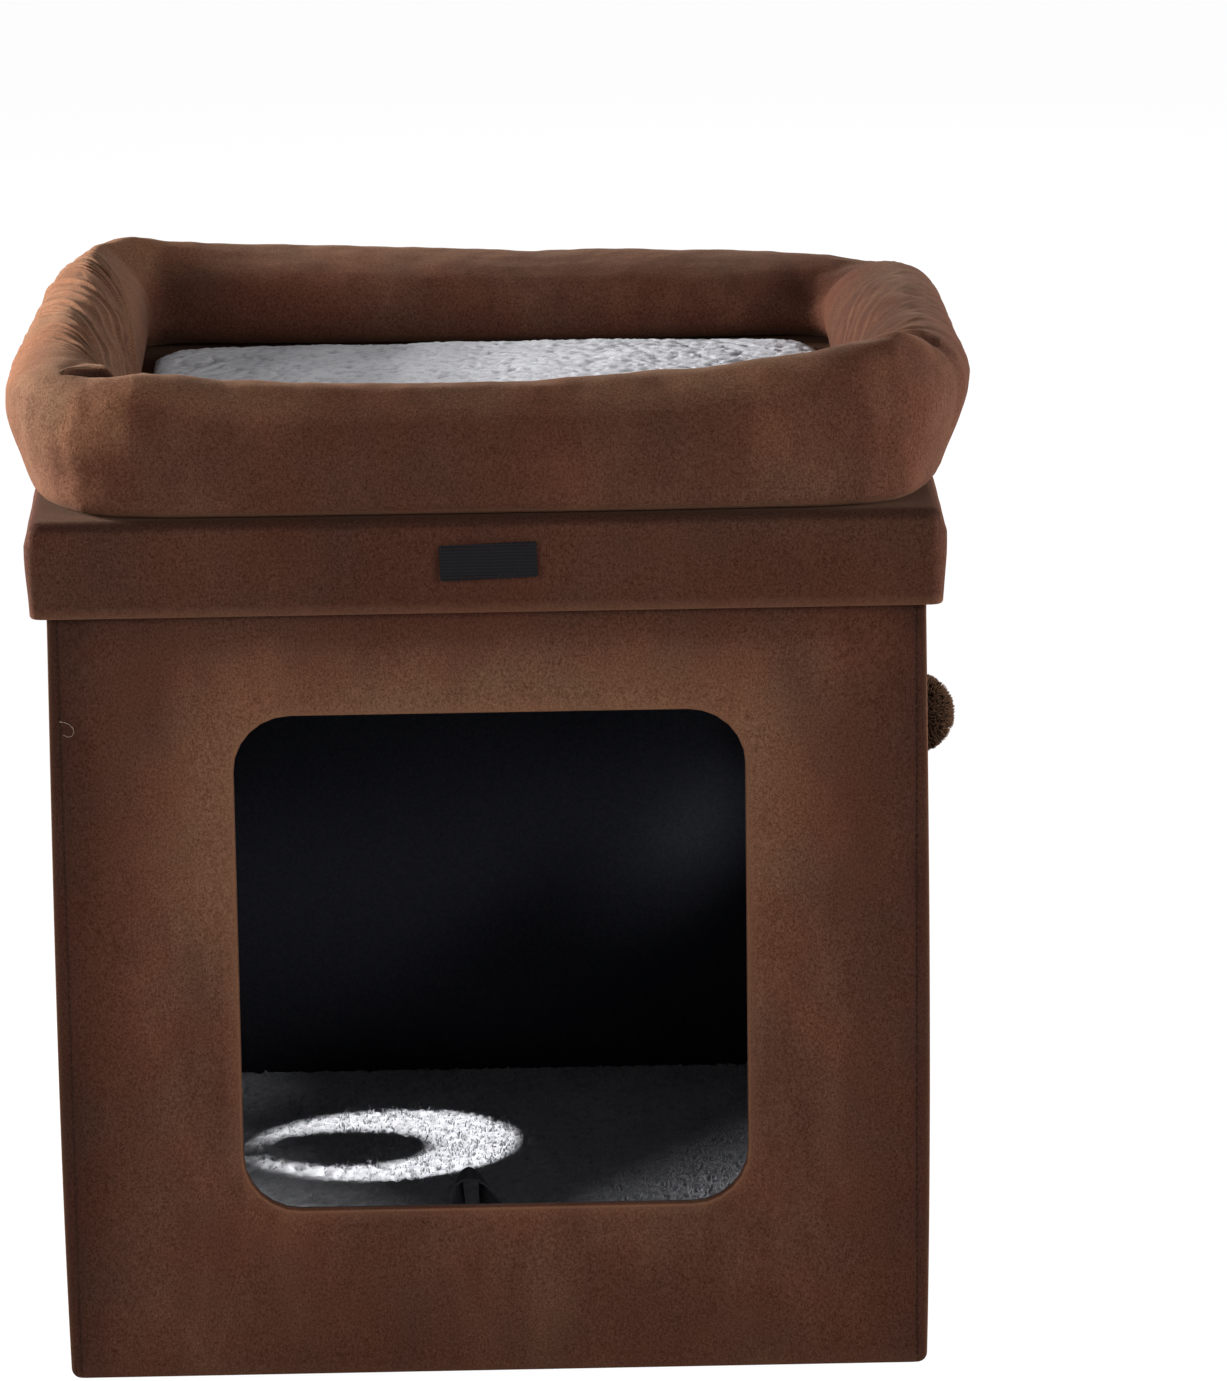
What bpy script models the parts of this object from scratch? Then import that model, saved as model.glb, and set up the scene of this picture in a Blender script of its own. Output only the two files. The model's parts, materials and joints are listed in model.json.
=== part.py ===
"""Foldable cat house: a cube of covered board panels, whose side walls fold inwards at their middle.

A lift-off lid carries a bed with a stuffed rim, a padded mat with a pull loop lies on the floor
inside, and a pompom hangs outside a round hole. Metres, +Z up, the front faces -Y, and the origin
is on the ground under the middle of the house.
"""

import math

import bmesh
import bpy
from mathutils import Vector

MM = 0.001

# House
HOUSE_WIDTH = 380 * MM
HOUSE_DEPTH = 380 * MM
WALL_HEIGHT = 388 * MM

# Layers of a covered panel, and the gap between pieces that touch
SUEDE = 1.0 * MM
BOARD = 3.0 * MM
LINING = 0.6 * MM
SEAT = 0.3 * MM
TRAY = SUEDE + SEAT + BOARD
PANEL = TRAY + SEAT + LINING

# Sewn edges of the front and back covers, which stand out past the side walls
FIN_WIDTH = 3.5 * MM
FIN_THICKNESS = 2.0 * MM
FIN_CORNER = 4.5 * MM

# Fold lines: each axis lies in the suede on the outside of the side walls
CORNER_STRIP = 5.6 * MM
CREASE_STRIP = 4.0 * MM
CREASE_OUT = 0.6 * MM

# Door in the front wall
DOOR_WIDTH = 222.5 * MM
DOOR_SILL = 77 * MM
DOOR_HEIGHT = 227 * MM
DOOR_CORNER = 25 * MM

# Round hole in the middle of the rear half of the right wall
HOLE_RADIUS = 39 * MM
HOLE_CENTRE_HEIGHT = 194 * MM

# Floor
BASE_CLOTH = 1.0 * MM
BASE_CLOTH_EASE = 0.5 * MM
MAT_EASE = 1.8 * MM
MAT_BACKING = 0.6 * MM
MAT_BOARD_INSET = 4.0 * MM
MAT_PLUSH = 9.5 * MM
MAT_CORNER = 6 * MM
MAT_EDGE = 3.5 * MM

# Pull loop, a ribbon on edge at the mat's front
LOOP_HEIGHT = 73 * MM
LOOP_WIDTH = 15 * MM
LOOP_THICKNESS = 1.2 * MM
LOOP_RADIUS = 8 * MM
LOOP_OFFSET = -10 * MM
LOOP_INSET = 2.0 * MM

# Lid
LID_OVERHANG = 7 * MM
SKIRT_HEIGHT = 42.5 * MM
LID_CORNER = 5 * MM
LID_EDGE = 4 * MM
LID_BOARD_INSET = 2 * MM

# Blank patch on the front of the skirt
PATCH_WIDTH = 42 * MM
PATCH_HEIGHT = 15.6 * MM
PATCH_THICKNESS = 0.6 * MM
PATCH_DROP = 18.8 * MM
PATCH_OFFSET = 1 * MM
PATCH_CORNER = 1.0 * MM
PATCH_TILT = math.radians(2)

# Stuffed rim of the bed: it bulges past the lid at the sides, sits a little to the right and
# is unevenly filled
RIM_SIDE_BULGE = 16.5 * MM
RIM_SIDE_WIDTH = 56.5 * MM
RIM_SHIFT = 2.5 * MM
RIM_FRONT_WIDTH = 62 * MM
RIM_REAR_WIDTH = 80 * MM
RIM_FRONT_CORNER = 66 * MM
RIM_REAR_CORNER = 104 * MM
RIM_INNER_CORNER = 3 * MM
RIM_CORNER_DIP = 12 * MM
RIM_FRONT = 50.5 * MM
RIM_REAR = 37 * MM
RIM_LEFT = 52 * MM
RIM_RIGHT = 53 * MM
RIM_FRONT_LEFT = 57 * MM
RIM_FRONT_RIGHT = 67 * MM
RIM_REAR_LEFT = 52 * MM
RIM_REAR_RIGHT = 33 * MM

# Bed cushion inside the rim
BED_EASE = 2.5 * MM
BED_EDGE_HEIGHT = 5 * MM
BED_CROWN = 8 * MM
BED_DRAWN_IN = 2.5 * MM

# Toy
TAB_WIDTH = 18 * MM
TAB_LENGTH = 18 * MM
TAB_THICKNESS = 3.0 * MM
TAB_ABOVE_HOLE = 39 * MM
CORD_DIAMETER = 2.2 * MM
CORD_BEND = 0.4
POMPOM_RADIUS = 19 * MM
POMPOM_LEAN = math.radians(40)

# Places that follow from the sizes
HALF_WIDTH = HOUSE_WIDTH / 2
HALF_DEPTH = HOUSE_DEPTH / 2
SIDE_OUT = HALF_WIDTH - FIN_WIDTH
SIDE_IN = SIDE_OUT - PANEL
END_IN = HALF_DEPTH - PANEL
CORNER_AXIS_X = SIDE_OUT - SUEDE / 2
CORNER_AXIS_Y = END_IN - CORNER_STRIP
CREASE_AXIS_X = SIDE_OUT + CREASE_OUT
LID_TOP = WALL_HEIGHT + PANEL + SEAT
LID_HALF_X = HALF_WIDTH + LID_OVERHANG
LID_HALF_Y = HALF_DEPTH + LID_OVERHANG
SKIRT_BOTTOM = LID_TOP - SKIRT_HEIGHT
RIM_HALF_X = LID_HALF_X + RIM_SIDE_BULGE
RIM_HALF_Y = LID_HALF_Y
NEST_HALF_X = RIM_HALF_X - RIM_SIDE_WIDTH
NEST_FRONT = RIM_FRONT_WIDTH - RIM_HALF_Y
NEST_REAR = RIM_HALF_Y - RIM_REAR_WIDTH
HOLE_CENTRE_Y = CORNER_AXIS_Y / 2


def clear_scene():
    for old in list(bpy.data.objects):
        bpy.data.objects.remove(old, do_unlink=True)


def new_collection(name):
    collection = bpy.data.collections.new(name)
    bpy.context.scene.collection.children.link(collection)
    return collection


def new_material(name, colour, roughness):
    material = bpy.data.materials.new(name)
    material.use_nodes = True
    shader = material.node_tree.nodes["Principled BSDF"]
    shader.inputs["Base Color"].default_value = (*colour, 1)
    shader.inputs["Roughness"].default_value = roughness
    shader.inputs["Metallic"].default_value = 0
    return material


clear_scene()
HOUSE = new_collection("Foldable cat house")
CUTTERS = new_collection("Cutters")

# Each substance: its name, colour and roughness
BROWN_SUEDE = ("suede", (0.09, 0.042, 0.027), 0.9)
BLACK_LINING = ("lining", (0.012, 0.012, 0.014), 0.8)
FIBREBOARD = ("fibreboard", (0.32, 0.22, 0.13), 0.75)
GREY_PLUSH = ("plush", (0.62, 0.62, 0.66), 0.95)
BLACK_WEBBING = ("webbing", (0.012, 0.012, 0.013), 0.65)
BROWN_YARN = ("yarn", (0.045, 0.026, 0.018), 0.95)


def place_of(pivot):
    """Where an empty stands in the world: none of them is turned."""
    place = Vector((0, 0, 0))
    while pivot:
        place += pivot.location
        pivot = pivot.parent
    return place


def new_pivot(name, place, parent=None):
    pivot = bpy.data.objects.new(name, None)
    pivot.empty_display_size = 0.03
    pivot.parent = parent
    pivot.location = Vector(place) - place_of(parent)
    HOUSE.objects.link(pivot)
    return pivot


def add_piece(name, shape, place, pivot, substance, turn=(0, 0, 0)):
    """Places a mesh or a curve under its pivot, and gives it a material of its own."""
    piece = bpy.data.objects.new(name, shape)
    piece.parent = pivot
    piece.location = Vector(place) - place_of(pivot)
    piece.rotation_euler = turn
    if substance:
        kind, colour, roughness = substance
        shape.materials.append(new_material(f"{name} {kind}", colour, roughness))
    HOUSE.objects.link(piece)
    return piece


def bevel_edges(model, edges, radius, segments):
    bmesh.ops.bevel(
        model, geom=edges, offset=radius, segments=segments, profile=0.5, affect="EDGES"
    )


def rounded_box(size, upright=0, rim=0, segments=3):
    """A box about its own centre, with its upright edges and its top edges rounded."""
    model = bmesh.new()
    bmesh.ops.create_cube(model, size=1)
    bmesh.ops.scale(model, vec=size, verts=model.verts)
    if upright:
        edges = [
            edge for edge in model.edges if abs(edge.verts[0].co.z - edge.verts[1].co.z) > size[2] / 2
        ]
        bevel_edges(model, edges, upright, segments)
    if rim:
        top = size[2] / 2 - 1e-6
        edges = [edge for edge in model.edges if min(v.co.z for v in edge.verts) > top]
        bevel_edges(model, edges, rim, segments)
    mesh = bpy.data.meshes.new("Box")
    model.to_mesh(mesh)
    model.free()
    return mesh


def add_box(name, low, high, pivot, substance, upright=0, rim=0):
    size = Vector(high) - Vector(low)
    place = (Vector(high) + Vector(low)) / 2
    return add_piece(name, rounded_box(size, upright, rim), place, pivot, substance)


def cut(piece, cutter):
    """Takes the cutter's shape out of the piece, and sets the cutter aside."""
    HOUSE.objects.unlink(cutter)
    CUTTERS.objects.link(cutter)
    cutter.hide_render = True
    cutter.display_type = "WIRE"
    modifier = piece.modifiers.new("Cut " + cutter.name, "BOOLEAN")
    modifier.operation = "DIFFERENCE"
    modifier.solver = "EXACT"
    modifier.object = cutter


def arc(centre, radius, start, end, steps):
    """Points on an arc in a flat drawing, both ends included, with its angles in degrees."""
    angles = [math.radians(start + (end - start) * i / steps) for i in range(steps + 1)]
    return [(centre[0] + radius * math.cos(a), centre[1] + radius * math.sin(a)) for a in angles]


def rectangle(left, right, bottom, top, bottom_radius=0, top_radius=0, steps=6):
    """A rectangle's outline, anticlockwise, with rounded lower and upper corners."""
    points = []
    for x, y, radius, start in (
        (right, top, top_radius, 0),
        (left, top, top_radius, 90),
        (left, bottom, bottom_radius, 180),
        (right, bottom, bottom_radius, 270),
    ):
        inwards = (-radius if x == right else radius, -radius if y == top else radius)
        centre = (x + inwards[0], y + inwards[1])
        points += arc(centre, radius, start, start + 90, steps) if radius else [(x, y)]
    return points


def add_flat(name, outlines, thickness, place, turn, pivot, substance):
    """A flat panel from an outline and the outlines of its holes, as a mesh."""
    drawing = bpy.data.curves.new(name, "CURVE")
    drawing.dimensions = "2D"
    drawing.fill_mode = "BOTH"
    drawing.extrude = thickness / 2
    for points in outlines:
        spline = drawing.splines.new("POLY")
        spline.points.add(len(points) - 1)
        for point, (x, y) in zip(spline.points, points):
            point.co = (x, y, 0, 1)
        spline.use_cyclic_u = True
    flat = bpy.data.objects.new(name + " drawing", drawing)
    HOUSE.objects.link(flat)
    graph = bpy.context.evaluated_depsgraph_get()
    mesh = bpy.data.meshes.new_from_object(flat.evaluated_get(graph))
    bpy.data.objects.remove(flat, do_unlink=True)
    model = bmesh.new()
    model.from_mesh(mesh)
    bmesh.ops.remove_doubles(model, verts=model.verts, dist=1e-6)
    bmesh.ops.recalc_face_normals(model, faces=model.faces)
    model.to_mesh(mesh)
    model.free()
    mesh.materials.clear()
    return add_piece(name, mesh, place, pivot, substance, turn)


# A drawing stood up to face along Y, and one stood up to face along X with its x axis along +Y
FACING_Y = (math.pi / 2, 0, 0)
FACING_X = (math.pi / 2, 0, math.pi / 2)


def end_wall(side, name, pivot, door):
    """The front wall (side -1) or the back wall (side 1): board, suede cover with fins, and lining."""

    def layer(outwards, thickness):
        return (0, side * (HALF_DEPTH - outwards - thickness / 2), 0)

    def opening(wrap):
        return rectangle(
            -DOOR_WIDTH / 2 - wrap,
            DOOR_WIDTH / 2 + wrap,
            DOOR_SILL - wrap,
            DOOR_SILL + DOOR_HEIGHT + wrap,
            DOOR_CORNER + wrap,
            DOOR_CORNER + wrap,
        )

    def outlines(outer, wrap):
        return [outer, opening(wrap)] if door else [outer]

    cover_outline = rectangle(-HALF_WIDTH, HALF_WIDTH, 0, WALL_HEIGHT, FIN_CORNER)
    cover = add_flat(
        name + "_cover", outlines(cover_outline, 0), TRAY, layer(0, TRAY), FACING_Y, pivot, BROWN_SUEDE
    )
    inside = SIDE_OUT - SUEDE
    pocket_outline = rectangle(-inside, inside, SUEDE, WALL_HEIGHT - SUEDE)
    cut(
        cover,
        add_flat(
            name + "_pocket",
            outlines(pocket_outline, SUEDE),
            PANEL,
            layer(SUEDE, PANEL),
            FACING_Y,
            pivot,
            None,
        ),
    )
    for hand in (-1, 1):
        reach = (hand * SIDE_OUT, hand * (HALF_WIDTH + FIN_WIDTH))
        behind = (side * (HALF_DEPTH - FIN_THICKNESS), side * (HALF_DEPTH - PANEL))
        low = (min(reach), min(behind), -FIN_WIDTH)
        high = (max(reach), max(behind), WALL_HEIGHT + FIN_WIDTH)
        cut(cover, add_box(f"{name}_fin_relief_{hand:+d}", low, high, pivot, None))

    board_half = inside - SEAT
    board_outline = rectangle(-board_half, board_half, SUEDE + SEAT, WALL_HEIGHT - SUEDE - SEAT)
    add_flat(
        name + "_board",
        outlines(board_outline, SUEDE + SEAT),
        BOARD,
        layer(SUEDE + SEAT, BOARD),
        FACING_Y,
        pivot,
        FIBREBOARD,
    )
    lining_outline = rectangle(-SIDE_OUT, SIDE_OUT, 0, WALL_HEIGHT)
    add_flat(
        name + "_lining",
        outlines(lining_outline, 0),
        LINING,
        layer(TRAY + SEAT, LINING),
        FACING_Y,
        pivot,
        BLACK_LINING,
    )


def side_half(side, name, pivot, rear, front, hole):
    """A rear or front half of the left (side -1) or right (side 1) wall, from y = front to y = rear."""

    def layer(outwards, thickness):
        return (side * (SIDE_OUT - outwards - thickness / 2), 0, 0)

    def outlines(edge, wrap):
        outer = rectangle(front + edge, rear - edge, edge, WALL_HEIGHT - edge)
        if not hole:
            return [outer]
        rim = arc((HOLE_CENTRE_Y, HOLE_CENTRE_HEIGHT), HOLE_RADIUS + wrap, 0, 360, 48)[:-1]
        return [outer, rim]

    cover = add_flat(
        name + "_cover", outlines(0, 0), TRAY, layer(0, TRAY), FACING_X, pivot, BROWN_SUEDE
    )
    cut(
        cover,
        add_flat(
            name + "_pocket",
            outlines(SUEDE, SUEDE),
            PANEL,
            layer(SUEDE, PANEL),
            FACING_X,
            pivot,
            None,
        ),
    )
    add_flat(
        name + "_board",
        outlines(SUEDE + SEAT, SUEDE + SEAT),
        BOARD,
        layer(SUEDE + SEAT, BOARD),
        FACING_X,
        pivot,
        FIBREBOARD,
    )
    add_flat(
        name + "_lining",
        outlines(0, 0),
        LINING,
        layer(TRAY + SEAT, LINING),
        FACING_X,
        pivot,
        BLACK_LINING,
    )


def hinge_strip(side, name, pivot, front, rear):
    """A strip of bare suede between two panels, where a side wall bends."""
    across = sorted((side * SIDE_OUT, side * (SIDE_OUT - SUEDE)))
    low = (across[0], front + SEAT, 0)
    high = (across[1], rear - SEAT, WALL_HEIGHT)
    add_box(name, low, high, pivot, BROWN_SUEDE)


def side_wall(side, hand, hole):
    """Both halves of a side wall and its three bending strips, with a pivot on each fold's axis."""
    rear_fold = new_pivot(f"{hand}_rear_fold", (side * CORNER_AXIS_X, CORNER_AXIS_Y, 0))
    crease = new_pivot(f"{hand}_crease", (side * CREASE_AXIS_X, 0, 0), rear_fold)
    half_end = CORNER_AXIS_Y - SEAT
    crease_end = CREASE_STRIP / 2
    side_half(side, f"{hand}_rear", rear_fold, half_end, crease_end, hole)
    side_half(side, f"{hand}_front", crease, -crease_end, -half_end, False)
    hinge_strip(side, f"{hand}_rear_corner_strip", rear_fold, half_end, END_IN)
    hinge_strip(side, f"{hand}_crease_strip", rear_fold, -crease_end, crease_end)
    hinge_strip(side, f"{hand}_front_corner_strip", crease, -END_IN, -half_end)
    return rear_fold, crease


def base_cloth():
    x = SIDE_IN - BASE_CLOTH_EASE
    y = END_IN - BASE_CLOTH_EASE
    add_box("base_cloth", (-x, -y, 0), (x, y, BASE_CLOTH), None, BLACK_LINING)


def floor_mat():
    """Backing, board and plush in one lift-out stack, with the ribbon loop sewn in at its front."""
    x = SIDE_IN - MAT_EASE
    y = END_IN - MAT_EASE
    bottom = BASE_CLOTH + SEAT
    lift = new_pivot("mat_lift", (0, 0, bottom))
    backing_top = bottom + MAT_BACKING
    add_box("mat_backing", (-x, -y, bottom), (x, y, backing_top), lift, BLACK_LINING, MAT_CORNER)
    board_x = x - MAT_BOARD_INSET
    board_y = y - MAT_BOARD_INSET
    board_bottom = backing_top + SEAT
    board_top = board_bottom + BOARD
    low = (-board_x, -board_y, board_bottom)
    add_box("mat_board", low, (board_x, board_y, board_top), lift, FIBREBOARD, MAT_CORNER)
    plush_bottom = board_top + SEAT
    plush_top = plush_bottom + MAT_PLUSH
    low = (-x, -y, plush_bottom)
    add_box("mat_plush", low, (x, y, plush_top), lift, GREY_PLUSH, MAT_CORNER, MAT_EDGE)

    arch = LOOP_HEIGHT - LOOP_RADIUS
    inner = LOOP_RADIUS - LOOP_THICKNESS
    outline = [(LOOP_RADIUS, 0)]
    outline += arc((0, arch), LOOP_RADIUS, 0, 180, 12)
    outline += [(-LOOP_RADIUS, 0), (-inner, 0)]
    outline += arc((0, arch), inner, 180, 0, 12)
    outline += [(inner, 0)]
    place = (LOOP_OFFSET, LOOP_INSET + LOOP_WIDTH / 2 - y, plush_top + SEAT)
    add_flat("mat_pull_loop", [outline], LOOP_WIDTH, place, FACING_Y, lift, BLACK_WEBBING)


def lid(lift):
    """Top board and four skirt boards between a suede cover and a lining, and the blank patch."""
    under_cover = LID_TOP - SUEDE
    board_bottom = under_cover - SEAT - BOARD
    cover = add_box(
        "lid_cover",
        (-LID_HALF_X, -LID_HALF_Y, SKIRT_BOTTOM),
        (LID_HALF_X, LID_HALF_Y, LID_TOP),
        lift,
        BROWN_SUEDE,
        LID_CORNER,
        LID_EDGE,
    )
    pocket_x = LID_HALF_X - SUEDE
    pocket_y = LID_HALF_Y - SUEDE
    pocket = add_box(
        "lid_pocket",
        (-pocket_x, -pocket_y, SKIRT_BOTTOM + SUEDE),
        (pocket_x, pocket_y, under_cover),
        lift,
        None,
        LID_CORNER - SUEDE,
        LID_EDGE - SUEDE,
    )
    mouth_x = LID_HALF_X - TRAY
    mouth_y = LID_HALF_Y - TRAY
    low = (-mouth_x, -mouth_y, SKIRT_BOTTOM - SUEDE)
    cut(cover, pocket)
    cut(cover, add_box("lid_mouth", low, (mouth_x, mouth_y, board_bottom), lift, None))

    board_x = pocket_x - SEAT - LID_BOARD_INSET
    board_y = pocket_y - SEAT - LID_BOARD_INSET
    low = (-board_x, -board_y, board_bottom)
    add_box("lid_board", low, (board_x, board_y, under_cover - SEAT), lift, FIBREBOARD, LID_CORNER)

    skirt_low = SKIRT_BOTTOM + SUEDE + SEAT
    skirt_high = board_bottom - SEAT
    end_x = LID_HALF_X - LID_CORNER
    end_y = LID_HALF_Y - LID_CORNER
    out_x = pocket_x - SEAT
    out_y = pocket_y - SEAT
    for side, name in ((-1, "lid_skirt_board_front"), (1, "lid_skirt_board_rear")):
        across = sorted((side * out_y, side * (out_y - BOARD)))
        low = (-end_x, across[0], skirt_low)
        add_box(name, low, (end_x, across[1], skirt_high), lift, FIBREBOARD)
    for side, name in ((-1, "lid_skirt_board_left"), (1, "lid_skirt_board_right")):
        across = sorted((side * out_x, side * (out_x - BOARD)))
        low = (across[0], -end_y, skirt_low)
        add_box(name, low, (across[1], end_y, skirt_high), lift, FIBREBOARD)

    lining_x = mouth_x - SEAT
    lining_y = mouth_y - SEAT
    lining_top = board_bottom - SEAT
    low = (-lining_x, -lining_y, SKIRT_BOTTOM)
    lining = add_box("lid_lining", low, (lining_x, lining_y, lining_top), lift, BLACK_LINING)
    hollow_x = lining_x - LINING
    hollow_y = lining_y - LINING
    low = (-hollow_x, -hollow_y, SKIRT_BOTTOM - SUEDE)
    cut(lining, add_box("lid_hollow", low, (hollow_x, hollow_y, lining_top - LINING), lift, None))

    half_width = PATCH_WIDTH / 2
    half_height = PATCH_HEIGHT / 2
    outline = rectangle(
        -half_width, half_width, -half_height, half_height, PATCH_CORNER, PATCH_CORNER
    )
    face = -LID_HALF_Y - SEAT - PATCH_THICKNESS / 2
    place = (PATCH_OFFSET, face, LID_TOP - PATCH_DROP)
    turn = (math.pi / 2, -PATCH_TILT, 0)
    add_flat("blank_patch", [outline], PATCH_THICKNESS, place, turn, lift, BLACK_WEBBING)


def rim_section():
    """Cage of the rim's cross-section: from -1 at the nest to 1 outside, and shares of its height."""
    return (
        (-0.5, 0.0),
        (0.1, 0.0),
        (0.72, 0.0),
        (0.79, 0.03),
        (0.94, 0.34),
        (1.07, 0.74),
        (0.7, 1.0),
        (0.0, 1.02),
        (-0.72, 0.89),
        (-1.05, 0.52),
        (-0.92, 0.12),
    )


def outline_points(half_x, front, rear, front_radius, rear_radius):
    """Points round a rectangle, anticlockwise from its right side, with their outward directions."""
    corner_steps = 3
    side_steps = 4
    corners = [
        (Vector((half_x - rear_radius, rear - rear_radius)), rear_radius),
        (Vector((rear_radius - half_x, rear - rear_radius)), rear_radius),
        (Vector((front_radius - half_x, front + front_radius)), front_radius),
        (Vector((half_x - front_radius, front + front_radius)), front_radius),
    ]
    points = []
    for number, (centre, radius) in enumerate(corners):
        for step in range(corner_steps + 1):
            angle = math.radians(90 * (number + step / corner_steps))
            outwards = Vector((math.cos(angle), math.sin(angle)))
            points.append((centre + radius * outwards, outwards))
        leave = points[-1][0]
        next_centre, next_radius = corners[(number + 1) % 4]
        goal = next_centre + next_radius * outwards
        for step in range(1, side_steps):
            points.append((leave.lerp(goal, step / side_steps), outwards))
    return points


def between(start, middle, end, t):
    """The height at t, from -1 to 1, on a smooth curve through three heights."""
    return middle * (1 - t * t) + start * t * (t - 1) / 2 + end * t * (t + 1) / 2


def rim_height(point, outwards):
    """How high the filling stands here, from the heights at the corners and the middles."""
    u = point.x / RIM_HALF_X
    v = point.y / RIM_HALF_Y
    if v < 0:
        along_end = between(RIM_FRONT_LEFT, RIM_FRONT, RIM_FRONT_RIGHT, u)
    else:
        along_end = between(RIM_REAR_LEFT, RIM_REAR, RIM_REAR_RIGHT, u)
    if u < 0:
        along_side = between(RIM_FRONT_LEFT, RIM_LEFT, RIM_REAR_LEFT, v)
    else:
        along_side = between(RIM_FRONT_RIGHT, RIM_RIGHT, RIM_REAR_RIGHT, v)
    return along_side * outwards.x**2 + along_end * outwards.y**2


def bed_rim(lift):
    """The stuffed ring: one closed loft round the bed, smoothed from a coarse cage."""
    outer = outline_points(
        RIM_HALF_X, -RIM_HALF_Y, RIM_HALF_Y, RIM_FRONT_CORNER, RIM_REAR_CORNER
    )
    inner = outline_points(
        NEST_HALF_X, NEST_FRONT, NEST_REAR, RIM_INNER_CORNER, RIM_INNER_CORNER
    )
    model = bmesh.new()
    rings = []
    for (outside, outwards), (inside, _) in zip(outer, inner):
        height = rim_height(outside, outwards)
        dip = RIM_CORNER_DIP * 4 * (outwards.x * outwards.y) ** 2
        ring = []
        for reach, rise in rim_section():
            place = inside.lerp(outside, (1 + reach) / 2)
            sunk = dip * rise if reach < 0 else 0
            ring.append(model.verts.new((place.x, place.y, rise * height - sunk)))
        rings.append(ring)
    count = len(rim_section())
    for here, there in zip(rings, rings[1:] + rings[:1]):
        for i in range(count):
            j = (i + 1) % count
            model.faces.new((here[i], here[j], there[j], there[i]))
    bmesh.ops.recalc_face_normals(model, faces=model.faces)
    mesh = bpy.data.meshes.new("bed_rim")
    model.to_mesh(mesh)
    model.free()
    mesh.shade_smooth()
    rim = add_piece("bed_rim", mesh, (RIM_SHIFT, 0, LID_TOP + SEAT), lift, BROWN_SUEDE)
    smooth(rim)


def smooth(piece):
    modifier = piece.modifiers.new("Soft form", "SUBSURF")
    modifier.levels = 1
    modifier.render_levels = 1


def bed_cushion(lift):
    """Crowned plush cushion that fills the nest, its sides drawn in between the corners."""
    half_x = NEST_HALF_X - BED_EASE
    half_y = (NEST_REAR - NEST_FRONT) / 2 - BED_EASE
    middle = (RIM_SHIFT, (NEST_REAR + NEST_FRONT) / 2, LID_TOP + SEAT)
    model = bmesh.new()
    bmesh.ops.create_cube(model, size=2)
    bmesh.ops.subdivide_edges(model, edges=model.edges, cuts=4, use_grid_fill=True)
    for vert in model.verts:
        u, v, up = vert.co
        drawn_x = half_x - BED_DRAWN_IN * (1 - v * v)
        drawn_y = half_y - BED_DRAWN_IN * (1 - u * u)
        crown = BED_CROWN * (1 - u * u) * (1 - v * v)
        level = (up + 1) / 2
        vert.co = (u * drawn_x, v * drawn_y, level * (BED_EDGE_HEIGHT + crown))
    mesh = bpy.data.meshes.new("bed_cushion")
    model.to_mesh(mesh)
    model.free()
    mesh.shade_smooth()
    cushion = add_piece("bed_cushion", mesh, middle, lift, GREY_PLUSH)
    smooth(cushion)


def toy(rear_fold):
    """A pompom on a short cord, which leans on the hole's upper edge from outside."""
    rim_top = HOLE_CENTRE_HEIGHT + HOLE_RADIUS
    tab_bottom = rim_top + TAB_ABOVE_HOLE
    tab_face = SIDE_OUT + SEAT
    add_box(
        "toy_tab",
        (tab_face, HOLE_CENTRE_Y - TAB_WIDTH / 2, tab_bottom),
        (tab_face + TAB_THICKNESS, HOLE_CENTRE_Y + TAB_WIDTH / 2, tab_bottom + TAB_LENGTH),
        rear_fold,
        BLACK_WEBBING,
    )
    knot_x = tab_face + TAB_THICKNESS / 2
    swing = new_pivot("toy_swing", (knot_x, HOLE_CENTRE_Y, tab_bottom), rear_fold)

    reach = POMPOM_RADIUS + SEAT
    ball_x = SIDE_OUT + reach * math.cos(POMPOM_LEAN)
    ball_centre = Vector((ball_x, HOLE_CENTRE_Y, rim_top - reach * math.sin(POMPOM_LEAN)))
    model = bmesh.new()
    bmesh.ops.create_uvsphere(model, u_segments=24, v_segments=16, radius=POMPOM_RADIUS)
    mesh = bpy.data.meshes.new("toy_pompom")
    model.to_mesh(mesh)
    model.free()
    mesh.shade_smooth()
    add_piece("toy_pompom", mesh, ball_centre, swing, BROWN_YARN)

    start = Vector((knot_x, HOLE_CENTRE_Y, tab_bottom - SEAT))
    bend = start.lerp(ball_centre, CORD_BEND)
    bend.x = knot_x + (ball_centre.x - knot_x) * CORD_BEND / 2
    towards_ball = (ball_centre - bend).normalized()
    end = ball_centre - towards_ball * reach
    drawing = bpy.data.curves.new("toy_cord", "CURVE")
    drawing.dimensions = "3D"
    drawing.bevel_depth = CORD_DIAMETER / 2
    drawing.bevel_resolution = 2
    drawing.use_fill_caps = True
    steps = 8
    spline = drawing.splines.new("POLY")
    spline.points.add(steps)
    for i, point in enumerate(spline.points):
        t = i / steps
        place = start.lerp(bend, t).lerp(bend.lerp(end, t), t)
        point.co = (*(place - start), 1)
    add_piece("toy_cord", drawing, start, swing, BROWN_YARN)


def build_house():
    end_wall(1, "back", None, door=False)
    side_wall(-1, "left", hole=False)
    right_rear_fold, _ = side_wall(1, "right", hole=True)
    front_place = (-CORNER_AXIS_X, -CORNER_AXIS_Y, 0)
    left_crease = bpy.data.objects["left_crease"]
    end_wall(-1, "front", new_pivot("front_fold", front_place, left_crease), door=True)
    base_cloth()
    floor_mat()
    lid_lift = new_pivot("lid_lift", (0, 0, SKIRT_BOTTOM))
    lid(lid_lift)
    bed_rim(lid_lift)
    bed_cushion(lid_lift)
    toy(right_rear_fold)


build_house()
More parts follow.
